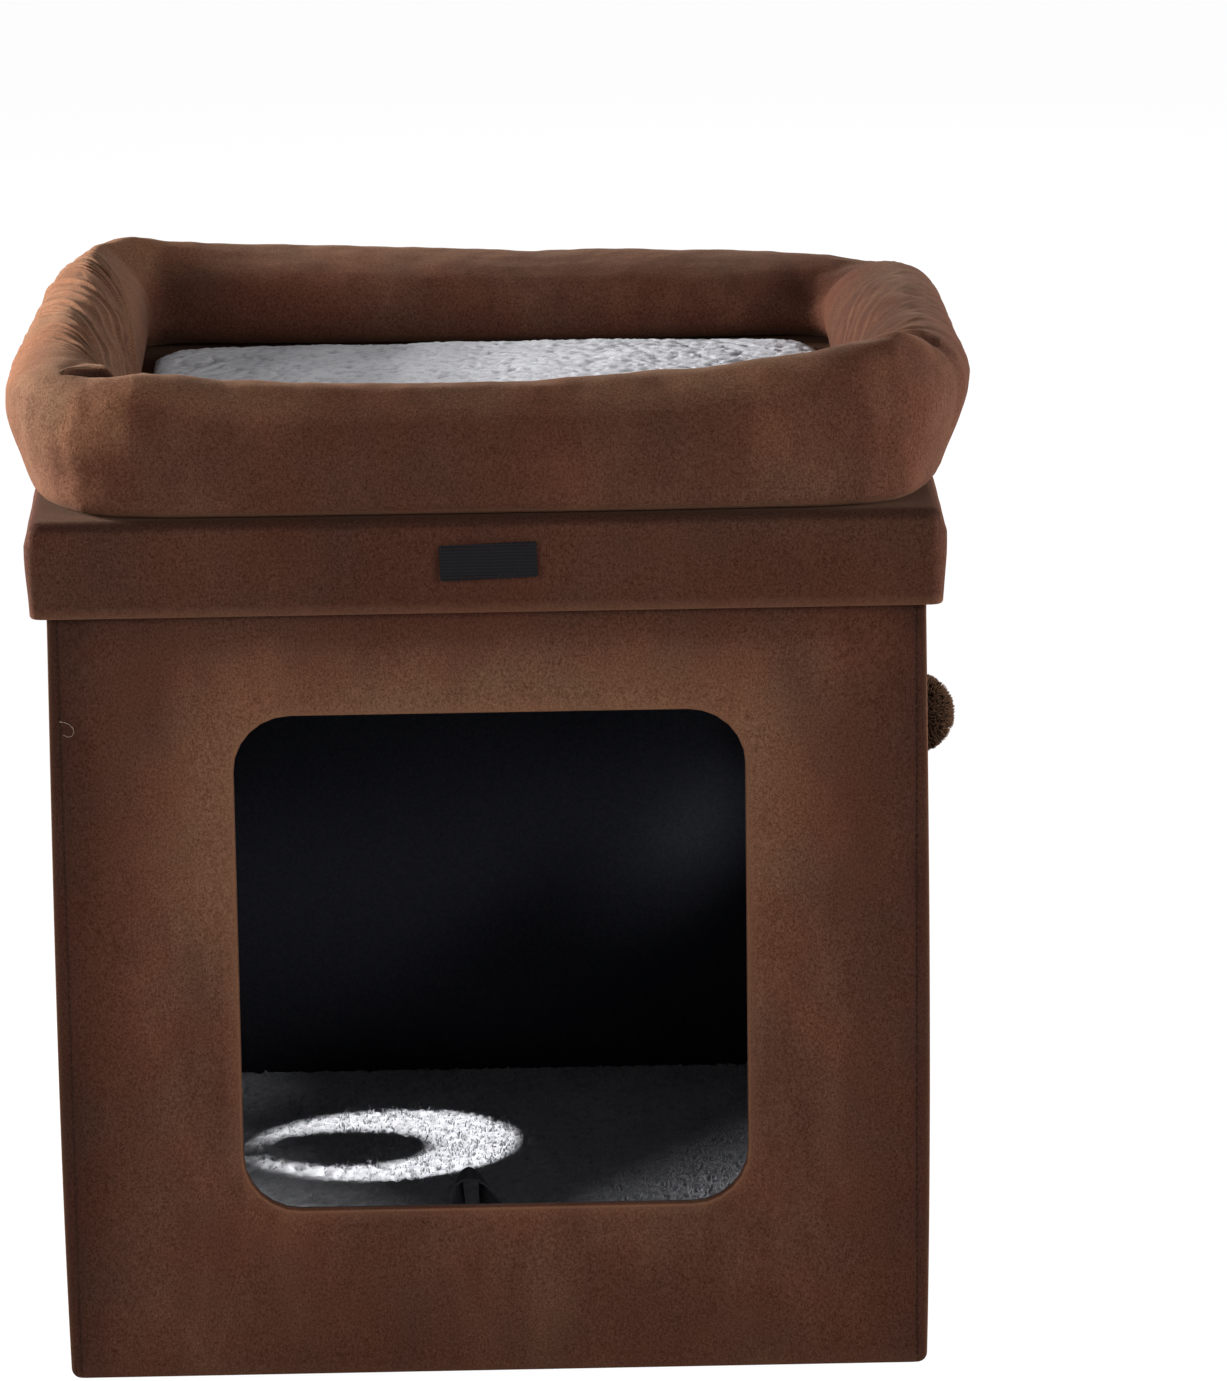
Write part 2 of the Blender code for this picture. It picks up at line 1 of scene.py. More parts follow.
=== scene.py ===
"""Looks of a foldable cat house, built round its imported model: suede skins with sewn edges, a
gathered stuffed rim, plush, tape and yarn, and the studio round them. Lengths are in metres."""

import json
import math
import random

import bmesh
import bpy
import numpy as np
from bpy.props import FloatProperty, FloatVectorProperty, IntProperty, PointerProperty
from mathutils import Matrix, Vector, noise


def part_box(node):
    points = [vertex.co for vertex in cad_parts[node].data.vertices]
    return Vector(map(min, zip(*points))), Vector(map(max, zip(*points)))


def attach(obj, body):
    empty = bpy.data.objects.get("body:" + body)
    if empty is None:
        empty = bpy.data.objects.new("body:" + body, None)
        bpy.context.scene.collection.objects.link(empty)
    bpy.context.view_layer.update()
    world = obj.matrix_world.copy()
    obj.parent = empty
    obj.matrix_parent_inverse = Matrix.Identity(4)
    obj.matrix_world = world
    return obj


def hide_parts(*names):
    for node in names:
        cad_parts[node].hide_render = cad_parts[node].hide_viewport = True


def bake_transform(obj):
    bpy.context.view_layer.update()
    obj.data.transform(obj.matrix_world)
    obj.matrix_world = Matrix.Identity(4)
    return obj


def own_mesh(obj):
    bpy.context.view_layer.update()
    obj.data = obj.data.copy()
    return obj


bl_info = {
    "name": "Foldable cat house",
    "version": (1, 0, 0),
    "blender": (4, 5, 0),
    "location": "View3D > Sidebar > Cat house",
    "description": "Dresses the foldable cat house in suede, plush and tape",
    "category": "Object",
}

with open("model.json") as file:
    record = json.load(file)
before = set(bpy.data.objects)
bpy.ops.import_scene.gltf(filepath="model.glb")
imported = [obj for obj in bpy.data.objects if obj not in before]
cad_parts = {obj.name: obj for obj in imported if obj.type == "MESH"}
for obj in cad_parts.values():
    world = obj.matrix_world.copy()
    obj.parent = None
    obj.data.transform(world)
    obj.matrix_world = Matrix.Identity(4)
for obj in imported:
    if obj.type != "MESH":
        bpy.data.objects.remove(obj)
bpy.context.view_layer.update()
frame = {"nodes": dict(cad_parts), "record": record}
MM = 0.001

# Unless it is given a seed, noise_vector starts from the clock, and the plush differs each run
noise.seed_set(1)

# Walls and lid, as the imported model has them
HOUSE_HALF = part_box("front_cover")[1].x
WALL_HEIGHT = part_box("front_cover")[1].z
SIDE_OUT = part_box("right_rear_cover")[1].x
CORNER_AXIS_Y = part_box("left_rear_cover")[1].y
STRIP_END_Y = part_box("left_rear_corner_strip")[1].y
LID_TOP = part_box("lid_cover")[1].z

# Openings: centre across and up, half size across and up, and corner radius
DOOR = ((0, 190.5 * MM), (111.25 * MM, 113.5 * MM), 25 * MM)
HOLE = ((89.6 * MM, 194 * MM), (39 * MM, 39 * MM), 39 * MM)

# Where the skin is cut on both sides of a sewn groove, in mm from it
SEAM_CUTS = (-2.2, -1.1, -0.45, 0, 0.45, 1.1, 2.2)

# The photograph's camera, fitted to the object's own edges
CAMERA_PLACE = (-0.0039, -3.2734, 1.1877)
CAMERA_PITCH = math.radians(15.83)
CAMERA_YAW = math.radians(1.08)
CAMERA_ROLL = math.radians(-0.72)
FOCAL_PIXELS = 7400
PHOTO_HEIGHT = 1381
SENSOR = 36

# Round lamps: name, place, what each points at, watts and size
LAMPS = (
    ("left_behind", (-0.94, 0.16, 0.6), (-0.15, 0, 0.42), 31, 0.2),
    ("left_front", (-1.66, -1.55, 0.99), (0, 0, 0.22), 31, 0.85),
    ("right_front", (1.66, -1.55, 0.99), (0, 0, 0.22), 32, 0.85),
    ("right_side", (0.95, -0.1, 0.42), (0.2, 0, 0.42), 12, 0.3),
    ("behind", (0.4, 2.3, 1.1), (0, 0, 0.22), 15, 0.85),
    ("low_front", (0, -1.1, 0.04), (0, 0.18, 0.25), 0.35, 0.3),
)

# A thread end at the left seam, as points in mm
LOOSE_THREAD = (
    (-185.7, -191.6, 304), (-183.6, -192.6, 304), (-181.4, -192.9, 303), (-179.9, -193, 301.4),
    (-179.6, -193, 299.4), (-180.6, -192.9, 297.8), (-182.4, -192.7, 297.4), (-184.2, -192.3, 298.3),
)

# How the bed's rim is swollen as cloth: frames, pressure, and how far a point may move
SWELL_FRAMES = 20
SWELL_PRESSURE = 4.0
SWELL_CAP = 1.6 * MM


def tone_of(name, description, default):
    return FloatVectorProperty(name=name, description=description, subtype="COLOR", default=default)


def length_of(name, description, default):
    return FloatProperty(name=name, description=description, subtype="DISTANCE", default=default)


class HouseSuede(bpy.types.PropertyGroup):
    """Suede of the walls, the lid and the rim."""

    colour: tone_of("Colour", "Main brown of the suede", (0.058, 0.0232, 0.0146))
    # The dark and light tones also serve for painted shade and painted light, and the light one, brightened,
    # for painted highlights
    dark: tone_of("Brushed down", "Where the nap lies down", (0.031, 0.0128, 0.0086))
    light: tone_of("Brushed up", "Where the nap stands up", (0.125, 0.0595, 0.034))
    groove: length_of("Seam depth", "Depth of the sewn groove", 0.8 * MM)
    edge: length_of("Edge radius", "Rounding of the sewn edges", 0.85 * MM)
    stitch: length_of("Stitch length", "From one stitch to the next", 3.2 * MM)


class HousePlush(bpy.types.PropertyGroup):
    """Plush of the floor mat and the bed."""

    colour: tone_of("Colour", "Light grey of the plush", (0.8, 0.8, 0.84))
    tuft: length_of("Tuft", "Height of a tuft", 2.8 * MM)


class HouseRim(bpy.types.PropertyGroup):
    """Stuffed rim of the bed."""

    voxel: length_of("Mesh", "Size of the cloth's mesh", 3.4 * MM)
    gather: length_of("Gather", "Height of a gather", 1.5 * MM)


class HouseToy(bpy.types.PropertyGroup):
    """Pompom and its cord."""

    fibres: IntProperty(name="Fibres", description="How many yarn ends the pompom has", default=5200, min=100)
    colour: tone_of("Colour", "Dark brown of the yarn", (0.013, 0.007, 0.0044))


class Value:
    """A shader socket in an expression: each operator adds one Math node."""

    def __init__(self, tree, socket):
        self.tree = tree
        self.socket = socket

    def maths(self, operation, *values):
        node = self.tree.nodes.new("ShaderNodeMath")
        node.operation = operation
        for socket, value in zip(node.inputs, values):
            if isinstance(value, Value):
                self.tree.links.new(value.socket, socket)
            else:
                socket.default_value = value
        return Value(self.tree, node.outputs[0])

    def __add__(self, other):
        return self.maths("ADD", self, other)

    def __sub__(self, other):
        return self.maths("SUBTRACT", self, other)

    def __mul__(self, other):
        return self.maths("MULTIPLY", self, other)


class Finish:
    """A material and its nodes."""

    def __init__(self, name, roughness, sheen=0.0, sheen_roughness=0.5, tint=(1, 1, 1), specular=0.3):
        self.material = bpy.data.materials.new(name)
        self.material.use_nodes = True
        self.tree = self.material.node_tree
        self.shader = self.tree.nodes["Principled BSDF"]
        for socket, value in (
            ("Roughness", roughness),
            ("Sheen Weight", sheen),
            ("Sheen Roughness", sheen_roughness),
            ("Sheen Tint", (*tint, 1)),
            ("Specular IOR Level", specular),
        ):
            self.shader.inputs[socket].default_value = value

    def node(self, kind, settings=None, out=0, **values):
        """Any node: its settings first, then its sockets by name, with _ for a space, or by number as s0."""
        made = self.tree.nodes.new("ShaderNode" + kind)
        for setting, value in (settings or {}).items():
            if setting == "stops":
                ramp = made.color_ramp
                while len(ramp.elements) < len(value):
                    ramp.elements.new(0.5)
                for element, (place, colour) in zip(ramp.elements, value):
                    element.position = place
                    element.color = (*colour, 1) if hasattr(colour, "__len__") else (colour,) * 3 + (1,)
            else:
                setattr(made, setting, value)
        for name, value in values.items():
            key = int(name[1:]) if name[1:].isdigit() else name.replace("_", " ")
            socket = made.inputs[key]
            if isinstance(value, Value):
                self.tree.links.new(value.socket, socket)
            elif hasattr(value, "__len__") and len(value) == 3 and socket.type == "RGBA":
                socket.default_value = (*value, 1)
            else:
                socket.default_value = value
        return Value(self.tree, made.outputs[out])

    def place(self, scale=(1, 1, 1)):
        """Object coordinates, scaled."""
        return self.node("Mapping", Vector=self.node("TexCoord", out=3), Scale=scale)

    def noise(self, place, scale, detail=2.0, roughness=0.5, distortion=0.0):
        return self.node(
            "TexNoise", Vector=place, Scale=scale, Detail=detail, Roughness=roughness, Distortion=distortion
        )

    def ramp(self, value, *stops):
        return self.node("ValToRGB", {"stops": stops}, Fac=value)

    def mix(self, share, first, second, blend="MIX"):
        return self.node(
            "Mix", {"data_type": "RGBA", "blend_type": blend}, out=2, s0=share, s6=first, s7=second
        )

    def attribute(self, name):
        return self.node("Attribute", {"attribute_name": name}, out=2)

    def bump(self, height, distance, strength, under=None):
        values = {"Height": height, "Distance": distance, "Strength": strength}
        if under:
            values["Normal"] = under
        return self.node("Bump", **values)

    def set(self, **values):
        for name, value in values.items():
            self.tree.links.new(value.socket, self.shader.inputs[name.replace("_", " ")])
        return self.material


def settings(group):
    return getattr(bpy.context.scene, "cat_house_" + group)


def suede(name):
    """Faux suede: tones where the nap lies differently, painted light and shade, fine specks, and painted
    highlights.

    Each piece keeps at its points a nap value, which holds where the nap is brushed up or down and where
    painted light and shade fall. It also keeps where a painted highlight lies along its folds, crests and
    edges."""
    look = settings("suede")
    finish = Finish(name, 0.95, sheen=0.05, sheen_roughness=0.4, tint=(1.0, 0.6, 0.38), specular=0.04)
    brushed = finish.place(scale=(1, 1, 0.5))
    broad = finish.noise(brushed, 11, detail=3, roughness=0.55, distortion=0.5)
    patches = finish.noise(brushed, 36, detail=4, roughness=0.6, distortion=0.3)
    # Besides the nap's own tones, the nap value paints light and shade; the noise adds tones at random
    nap_lie_and_painted_light = finish.attribute("nap") + 0.5 + (broad - 0.5) * 0.5 + (patches - 0.5) * 0.4
    tone = finish.ramp(nap_lie_and_painted_light, (0.0, tuple(look.dark)), (0.5, tuple(look.colour)), (1.0, tuple(look.light)))
    hue = finish.noise(finish.place(), 21, detail=3)
    dye = finish.ramp(hue, (0.38, (1.05, 0.97, 0.93)), (0.62, (0.96, 1.03, 1.04)))
    tone = finish.mix(1.0, tone, dye, "MULTIPLY")
    nap = finish.place(scale=(1, 1, 0.72))
    specks = finish.noise(nap, 1900, detail=1)
    grains = finish.noise(nap, 900, detail=3, roughness=0.6)
    grain = specks * 0.5 + grains * 0.5
    speckle = finish.ramp(grain, (0.36, (0.62, 0.53, 0.47)), (0.64, (1.38, 1.47, 1.53)))
    tone = finish.mix(1.0, tone, speckle, "MULTIPLY")
    # Painted highlight: lighter along folds, crests and edges, where they catch the light
    tone = finish.mix(finish.attribute("fold"), tone, tuple(c * 1.25 for c in look.light))
    fine = finish.bump(grain, 0.4 * MM, 0.6)
    soft = finish.bump(patches, 1.6 * MM, 0.25, under=fine)
    return finish.set(Base_Color=tone, Normal=soft)


def lining(name):
    """Black non-woven lining with its pressed dots."""
    finish = Finish(name, 1.0, specular=0.03)
    place = finish.place()
    felt = finish.noise(place, 700, detail=3, roughness=0.7)
    dots = finish.node("TexVoronoi", {"feature": "F1"}, Vector=place, Scale=420, Randomness=0.15)
    pressed = finish.ramp(dots, (0.18, 0.0), (0.34, 1.0))
    tone = finish.mix(felt, (0.016, 0.0165, 0.021), (0.052, 0.054, 0.067))
    return finish.set(Base_Color=tone, Normal=finish.bump(felt * 0.4 + pressed * 0.6, 0.25 * MM, 0.5))


def fibreboard(name):
    """Raw fibreboard with its pressed fibres and specks."""
    finish = Finish(name, 0.8)
    place = finish.place()
    fibres = finish.noise(finish.place(scale=(1, 1, 2.2)), 260, detail=4, roughness=0.7, distortion=1.2)
    tone = finish.mix(fibres, (0.22, 0.14, 0.08), (0.42, 0.3, 0.18))
    specks = finish.ramp(finish.noise(place, 1500), (0.6, 0.0), (0.72, 0.6))
    tone = finish.mix(specks, tone, (0.12, 0.07, 0.04))
    return finish.set(Base_Color=tone, Normal=finish.bump(fibres, 0.2 * MM, 0.5))


def plush(name):
    """Knobbly grey plush: painted shade darkens the roots between its tufts, and fine wisps lie over them.

    Each piece keeps at its points how high its tufts stand, from 0 at the roots to 1."""
    look = settings("plush")
    finish = Finish(name, 0.95, sheen=0.12, sheen_roughness=0.6, tint=(0.95, 0.95, 1.0), specular=0.08)
    place = finish.place()
    wisps = finish.noise(place, 900, detail=3, roughness=0.75, distortion=1.5)
    cloud = finish.noise(place, 26, detail=3, distortion=0.5)
    height = finish.attribute("tuft")
    # Painted shade between the tufts: darker towards their roots
    root = finish.ramp(height * 0.75 + wisps * 0.35, (0.1, (0.42, 0.42, 0.45)), (0.75, (1.04, 1.04, 1.04)))
    tone = finish.mix(1.0, tuple(look.colour), root, "MULTIPLY")
    tone = finish.mix(finish.ramp(cloud, (0.35, 0.25), (0.65, 0.0)), tone, (0.4, 0.4, 0.44))
    tone = finish.mix(1.0, tone, finish.ramp(wisps, (0.3, 0.85), (0.7, 1.1)), "MULTIPLY")
    return finish.set(Base_Color=tone, Normal=finish.bump(wisps, 0.9 * MM, 0.7))


def webbing(name):
    """Black woven tape: a fine rib across it, and the weft's small breaks."""
    finish = Finish(name, 0.8, specular=0.06)

    def bands(axis, scale, distortion):
        kind = {"wave_type": "BANDS", "bands_direction": axis}
        return finish.node("TexWave", kind, Vector=finish.place(), Scale=scale, Distortion=distortion)

    weave = bands("Z", 220, 0.6) * 0.6 + bands("X", 300, 0.8) * 0.4
    tone = finish.mix(weave, (0.004, 0.004, 0.0045), (0.012, 0.0115, 0.014))
    return finish.set(Base_Color=tone, Normal=finish.bump(weave, 0.18 * MM, 0.7))


def yarn(name):
    """Dark brown yarn with lighter tips."""
    look = settings("toy")
    finish = Finish(name, 1.0, specular=0.03)
    cloud = finish.noise(finish.place(), 160, detail=4, roughness=0.65)
    tone = finish.mix(cloud, tuple(c * 0.55 for c in look.colour), tuple(c * 1.5 for c in look.colour))
    tips = finish.attribute("tip")
    tone = finish.mix(tips * 0.5, tone, (0.045, 0.022, 0.011))
    return finish.set(Base_Color=tone, Normal=finish.bump(cloud, 0.4 * MM, 0.5))


def thread(name):
    """Twisted dark sewing thread."""
    finish = Finish(name, 0.8, specular=0.08)
    twist = finish.noise(finish.place(), 2600, detail=1)
    tone = finish.mix(twist, (0.008, 0.005, 0.004), (0.024, 0.013, 0.009))
    return finish.set(Base_Color=tone)


def loose_thread(name):
    """Pale brown ends of thread."""
    finish = Finish(name, 0.7, specular=0.2)
    shade = finish.noise(finish.place(), 400, detail=2)
    return finish.set(Base_Color=finish.mix(shade, (0.09, 0.06, 0.045), (0.3, 0.23, 0.18)))


MAKERS = {
    make.__name__: make
    for make in (suede, lining, fibreboard, plush, webbing, yarn, thread, loose_thread)
}


def finish_of(slot):
    """The material of a finish, made if it isn't there yet."""
    name = "house_" + slot
    return bpy.data.materials.get(name) or MAKERS[slot](name)


def smoothstep(value, low, high):
    share = np.clip((value - low) / (high - low), 0, 1)
    return share * share * (3 - 2 * share)


def rising(value, low, high):
    """From 0 to 1 between two places in mm."""
    return smoothstep(value, low * MM, high * MM)


def above_lid(z, low, high):
    """From 0 to 1 between two heights over the lid's top, in mm."""
    return smoothstep(z, LID_TOP + low * MM, LID_TOP + high * MM)


def bell(value, width):
    """1 at 0, and falling away on both sides of it."""
    return np.exp(-((value / width) ** 2))


def profile(value, *stops):
    """A height along a piece, from pairs of a place and its height in mm."""
    places, heights = np.array(stops).T * MM
    return np.interp(value, places, heights)


def rounded_distance(across, up, outline):
    """How far points lie outside a rectangle with round corners; negative inside it."""
    (centre_across, centre_up), (half_across, half_up), radius = outline
    dx = np.abs(across - centre_across) - half_across + radius
    dz = np.abs(up - centre_up) - half_up + radius
    return np.hypot(np.maximum(dx, 0), np.maximum(dz, 0)) + np.minimum(np.maximum(dx, dz), 0) - radius


def fractal(points, scale, seed=0.0):
    """Soft noise at each point, from about -1 to 1."""
    shift = Vector((seed * 7.3, seed * 3.1, seed * 5.7))
    return np.array([noise.fractal(Vector(p) * scale + shift, 0.8, 2.0, 3) for p in points])


def knobs(points, size, seed):
    """Round tufts at each point: their height from 0 to 1, and which way they lean."""
    height = np.zeros(len(points))
    lean = np.zeros((len(points), 3))
    for i, place in enumerate(points):
        spot = Vector(place) / size
        spot += noise.noise_vector(spot * 0.6) * 0.35
        spot.z += seed * 9.1
        distances, centres = noise.voronoi(spot)
        height[i] = 1 - distances[0] ** 2 * 1.1
        lean[i] = centres[0] - spot
    lean[:, 2] = 0
    return np.clip(height, 0, 1), lean


def points_of(mesh, kind="co"):
    """The place of each point, or its normal."""
    values = np.zeros(len(mesh.vertices) * 3)
    mesh.vertices.foreach_get(kind, values)
    return values.reshape(-1, 3)


def move_points(mesh, points):
    mesh.vertices.foreach_set("co", points.astype(np.float32).ravel())
    mesh.update()


def note(mesh, name, values):
    """Keeps a number at each point, for the material to read."""
    attribute = mesh.attributes.new(name, "FLOAT", "POINT")
    attribute.data.foreach_set("value", np.asarray(values, np.float32))


def new_piece(name, model, material, sharp=40):
    """A finished object from a bmesh, smooth but for edges sharper than the angle."""
    mesh = bpy.data.meshes.new(name)
    model.to_mesh(mesh)
    model.free()
    mesh.shade_smooth()
    if sharp:
        mesh.set_sharp_from_angle(angle=math.radians(sharp))
    mesh.materials.clear()
    mesh.materials.append(material)
    piece = bpy.data.objects.new(name, mesh)
    bpy.context.scene.collection.objects.link(piece)
    return piece


def settle(piece, body, slot, *nodes):
    """Rides a piece on its body, and hides the parts that it stands for. Its slot is not used."""
    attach(piece, body)
    if nodes:
        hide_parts(*nodes)


def apply_modifiers(piece):
    graph = bpy.context.evaluated_depsgraph_get()
    mesh = bpy.data.meshes.new_from_object(piece.evaluated_get(graph))
    piece.modifiers.clear()
    old = piece.data
    piece.data = mesh
    bpy.data.meshes.remove(old)
    mesh.name = piece.name
    mesh.shade_smooth()


def evened(name, node, slot, voxel, swollen=False):
    """A soft piece with an even mesh, which is swollen first if asked, and then smoothed."""
    piece = new_piece(name, merged_copy(node), finish_of(slot), sharp=0)
    remesh = piece.modifiers.new("Even mesh", "REMESH")
    remesh.mode = "VOXEL"
    remesh.voxel_size = voxel
    apply_modifiers(piece)
    if swollen:
        inflate(piece)
    finer = piece.modifiers.new("Finer", "SUBSURF")
    finer.levels = 1
    finer.render_levels = 1
    apply_modifiers(piece)
    piece.data.materials.clear()
    piece.data.materials.append(finish_of(slot))
    return piece


def merged_copy(node):
    """A bmesh of a CAD node with its corners merged and its flat faces joined."""
    model = bmesh.new()
    model.from_mesh(frame["nodes"][node].data)
    bmesh.ops.remove_doubles(model, verts=model.verts, dist=1e-6)
    bmesh.ops.dissolve_limit(model, angle_limit=math.radians(1), verts=model.verts, edges=model.edges)
    return model


def bevel(model, edges, radius, segments=3):
    bmesh.ops.bevel(
        model, geom=edges, offset=radius, segments=segments, profile=0.5, material=-1, affect="EDGES"
    )


def sharp_edges(model, wanted):
    """Edges with a real corner, both of whose ends are wanted."""
    return [
        edge
        for edge in model.edges
        if len(edge.link_faces) == 2
        and edge.calc_face_angle(0) > 0.5
        and all(wanted(vert.co) for vert in edge.verts)
    ]


def slice_at(model, axis, values):
    """Cuts across the whole model at each value along an axis."""
    direction = Vector((0, 0, 0))
    direction[axis] = 1
    for value in values:
        geometry = model.verts[:] + model.edges[:] + model.faces[:]
        bmesh.ops.bisect_plane(
            model, geom=geometry, dist=1e-6, plane_co=direction * value, plane_no=direction
        )


def steps(low, high, step):
    """Evenly spaced values strictly between two ends."""
    count = max(2, round((high - low) / step))
    return [low + (high - low) * i / count for i in range(1, count)]


def open_edges(model):
    return [edge for edge in model.edges if len(edge.link_faces) == 1]


def grow(model, edges):
    """Extrudes edges, and gives their new points."""
    grown = bmesh.ops.extrude_edge_only(model, edges=edges)["geom"]
    return [item for item in grown if isinstance(item, bmesh.types.BMVert)]


def stood(place, direction):
    """A matrix that sets a shape down at a place, with its z axis along a direction."""
    return Matrix.Translation(place) @ direction.to_track_quat("Z", "Y").to_matrix().to_4x4()


def add_rod(model, middle, direction, length, radii, sides, capped=True):
    """Adds a straight rod, which narrows from its first radius to its second."""
    bmesh.ops.create_cone(
        model,
        cap_ends=capped,
        segments=sides,
        radius1=radii[0],
        radius2=radii[1],
        depth=length,
        matrix=stood(middle, direction),
    )


def cover_panel(node, body, out_axis, side, opening=None, seams=(), seed=0):
    """A wall's suede skin: rounded edges, sunk seams, and a surface that is a little uneven."""
    look = settings("suede")
    low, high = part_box(node)
    across = 1 - out_axis
    face = high[out_axis] if side > 0 else -low[out_axis]
    model = merged_copy(node)

    def off_opening(point):
        return rounded_distance(point[across], point.z, opening) if opening else 1

    def on_face(point):
        return abs(point[out_axis] * side - face) < 1e-5

    def at_opening(point):
        return on_face(point) and off_opening(point) < 0.5 * MM

    def at_rim(point):
        on_fin = seams and abs(point.x) > HOUSE_HALF - 0.1 * MM
        return off_opening(point) > 3 * MM and (on_face(point) or on_fin)

    if opening:
        bevel(model, sharp_edges(model, at_opening), 1.5 * MM, 4)
    bevel(model, sharp_edges(model, at_rim), look.edge)
    for axis in (across, 2):
        slice_at(model, axis, steps(low[axis], high[axis], 7 * MM))
    for seam in seams:
        slice_at(model, across, [seam + cut * MM for cut in SEAM_CUTS])
    cover = new_piece("suede_" + node, model, finish_of("suede"))
    mesh = cover.data
    points = points_of(mesh)
    outer = points[:, out_axis] * side > face - 0.7 * MM
    width = points[:, across]
    up = points[:, 2]
    sides = np.minimum(width - low[across], high[across] - width)
    margin = np.minimum.reduce([sides, up - low.z, high.z - up])
    # Painted highlight along the panel's edges
    fold = 0.35 * bell(margin, 0.8 * MM)
    # Darker towards the side edges, more so on the left
    nap = np.where(width < 0, -0.5, -0.33) * bell(sides, 21 * MM)
    if opening:
        to_opening = rounded_distance(width, up, opening)
        margin = np.minimum(margin, to_opening)
        # Painted highlight along the opening's rounded cut edge
        fold += 0.75 * bell(to_opening, 1.3 * MM) * (to_opening > -1 * MM)
    if opening and seams:
        centre = opening[0][1]
        above = smoothstep(up, centre - 90 * MM, centre + 110 * MM)
        # Lighter round the door, most of all above its middle
        nap += (0.06 + 0.3 * above) * bell(np.maximum(to_opening, 0), 30 * MM)
        # Painted shade under the lid's skirt, along the top of the wall
        nap -= 0.2 * rising(up, 331, 348)
    for seam in seams:
        margin = np.minimum(margin, np.abs(width - seam))
    note(mesh, "fold", np.clip(fold, 0, 1) * outer)
    note(mesh, "nap", nap)
    # Side halves swell less, because they lie 1.2 mm apart once they are folded
    uneven = fractal(points, 13, seed) * 0.55 * MM + fractal(points, 42, seed + 3) * 0.16 * MM
    shift = rising(margin, 0, 14) * (0.9 * MM + uneven if out_axis else 0.25 * MM + 0.4 * uneven)
    for seam in seams:
        shift -= look.groove * bell(width - seam, 0.75 * MM)
    points[:, out_axis] += np.where(outer, side * shift, 0)
    if seams:
        fin = smoothstep(np.abs(width), HOUSE_HALF - 5 * MM, HOUSE_HALF - 1 * MM)
        lean = np.sin(np.clip(up / (345 * MM), 0, 1) ** 0.8 * math.pi)
        points[:, across] += np.sign(width) * fin * lean * 1.5 * MM
    move_points(mesh, points)
    settle(cover, body, "suede", node)


def stitch_row(name, body, start, end, out):
    """A row of short thread stitches, each a small rounded bar that dips in at its ends."""
    length = settings("suede").stitch
    start = Vector(start)
    end = Vector(end)
    out = Vector(out)
    along = (end - start).normalized()
    model = bmesh.new()
    turn = Matrix((along, out.cross(along), out)).transposed().to_4x4()
    size = Matrix.Diagonal((length * 0.4, 0.24 * MM, 0.2 * MM, 1))
    for i in range(int((end - start).length / length)):
        place = Matrix.Translation(start + along * length * (i + 0.5))
        bmesh.ops.create_uvsphere(
            model, u_segments=6, v_segments=4, radius=1, matrix=place @ turn @ size
        )
    bmesh.ops.recalc_face_normals(model, faces=model.faces)
    settle(new_piece(name, model, finish_of("thread"), sharp=0), body, "suede")


def fold_strip(node, bodies, seed=0):
    """Bare suede across a crease or corner: it laps onto both panels, and rides on its body when it has only
    one.
    """
    low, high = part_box(node)
    side = 1 if low.x > 0 else -1
    lap = 0.9 * MM
    half = (high.y - low.y) / 2 + lap
    middle = (high.y + low.y) / 2
    height = WALL_HEIGHT - 0.6 * MM
    model = bmesh.new()
    bmesh.ops.create_grid(model, x_segments=8, y_segments=64, size=1)
    for vert in model.verts:
        u, v, _ = vert.co
        rise = 0.35 * MM * (1 - u * u) + 0.12 * MM
        wave = 0.12 * MM * noise.noise(Vector((u, v * 9, seed + 0.5)))
        vert.co = (side * (SIDE_OUT + rise + wave), middle + u * half, (v + 1) / 2 * height)
    bmesh.ops.recalc_face_normals(model, faces=model.faces)
    if side * model.faces[:][0].normal.x < 0:
        bmesh.ops.reverse_faces(model, faces=model.faces)
    bmesh.ops.solidify(model, geom=model.faces[:], thickness=0.7 * MM)
    strip = new_piece("suede_" + node, model, finish_of("suede"))
    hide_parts(node)
    if len(bodies) == 1:
        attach(strip, bodies[0])
    else:
        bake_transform(strip)


def press_to_back(piece):
    """Gives a floor piece a mesh of its own."""
    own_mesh(piece)


def press_to_side(piece):
    """Gives a piece of the toy a mesh of its own."""
    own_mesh(piece)


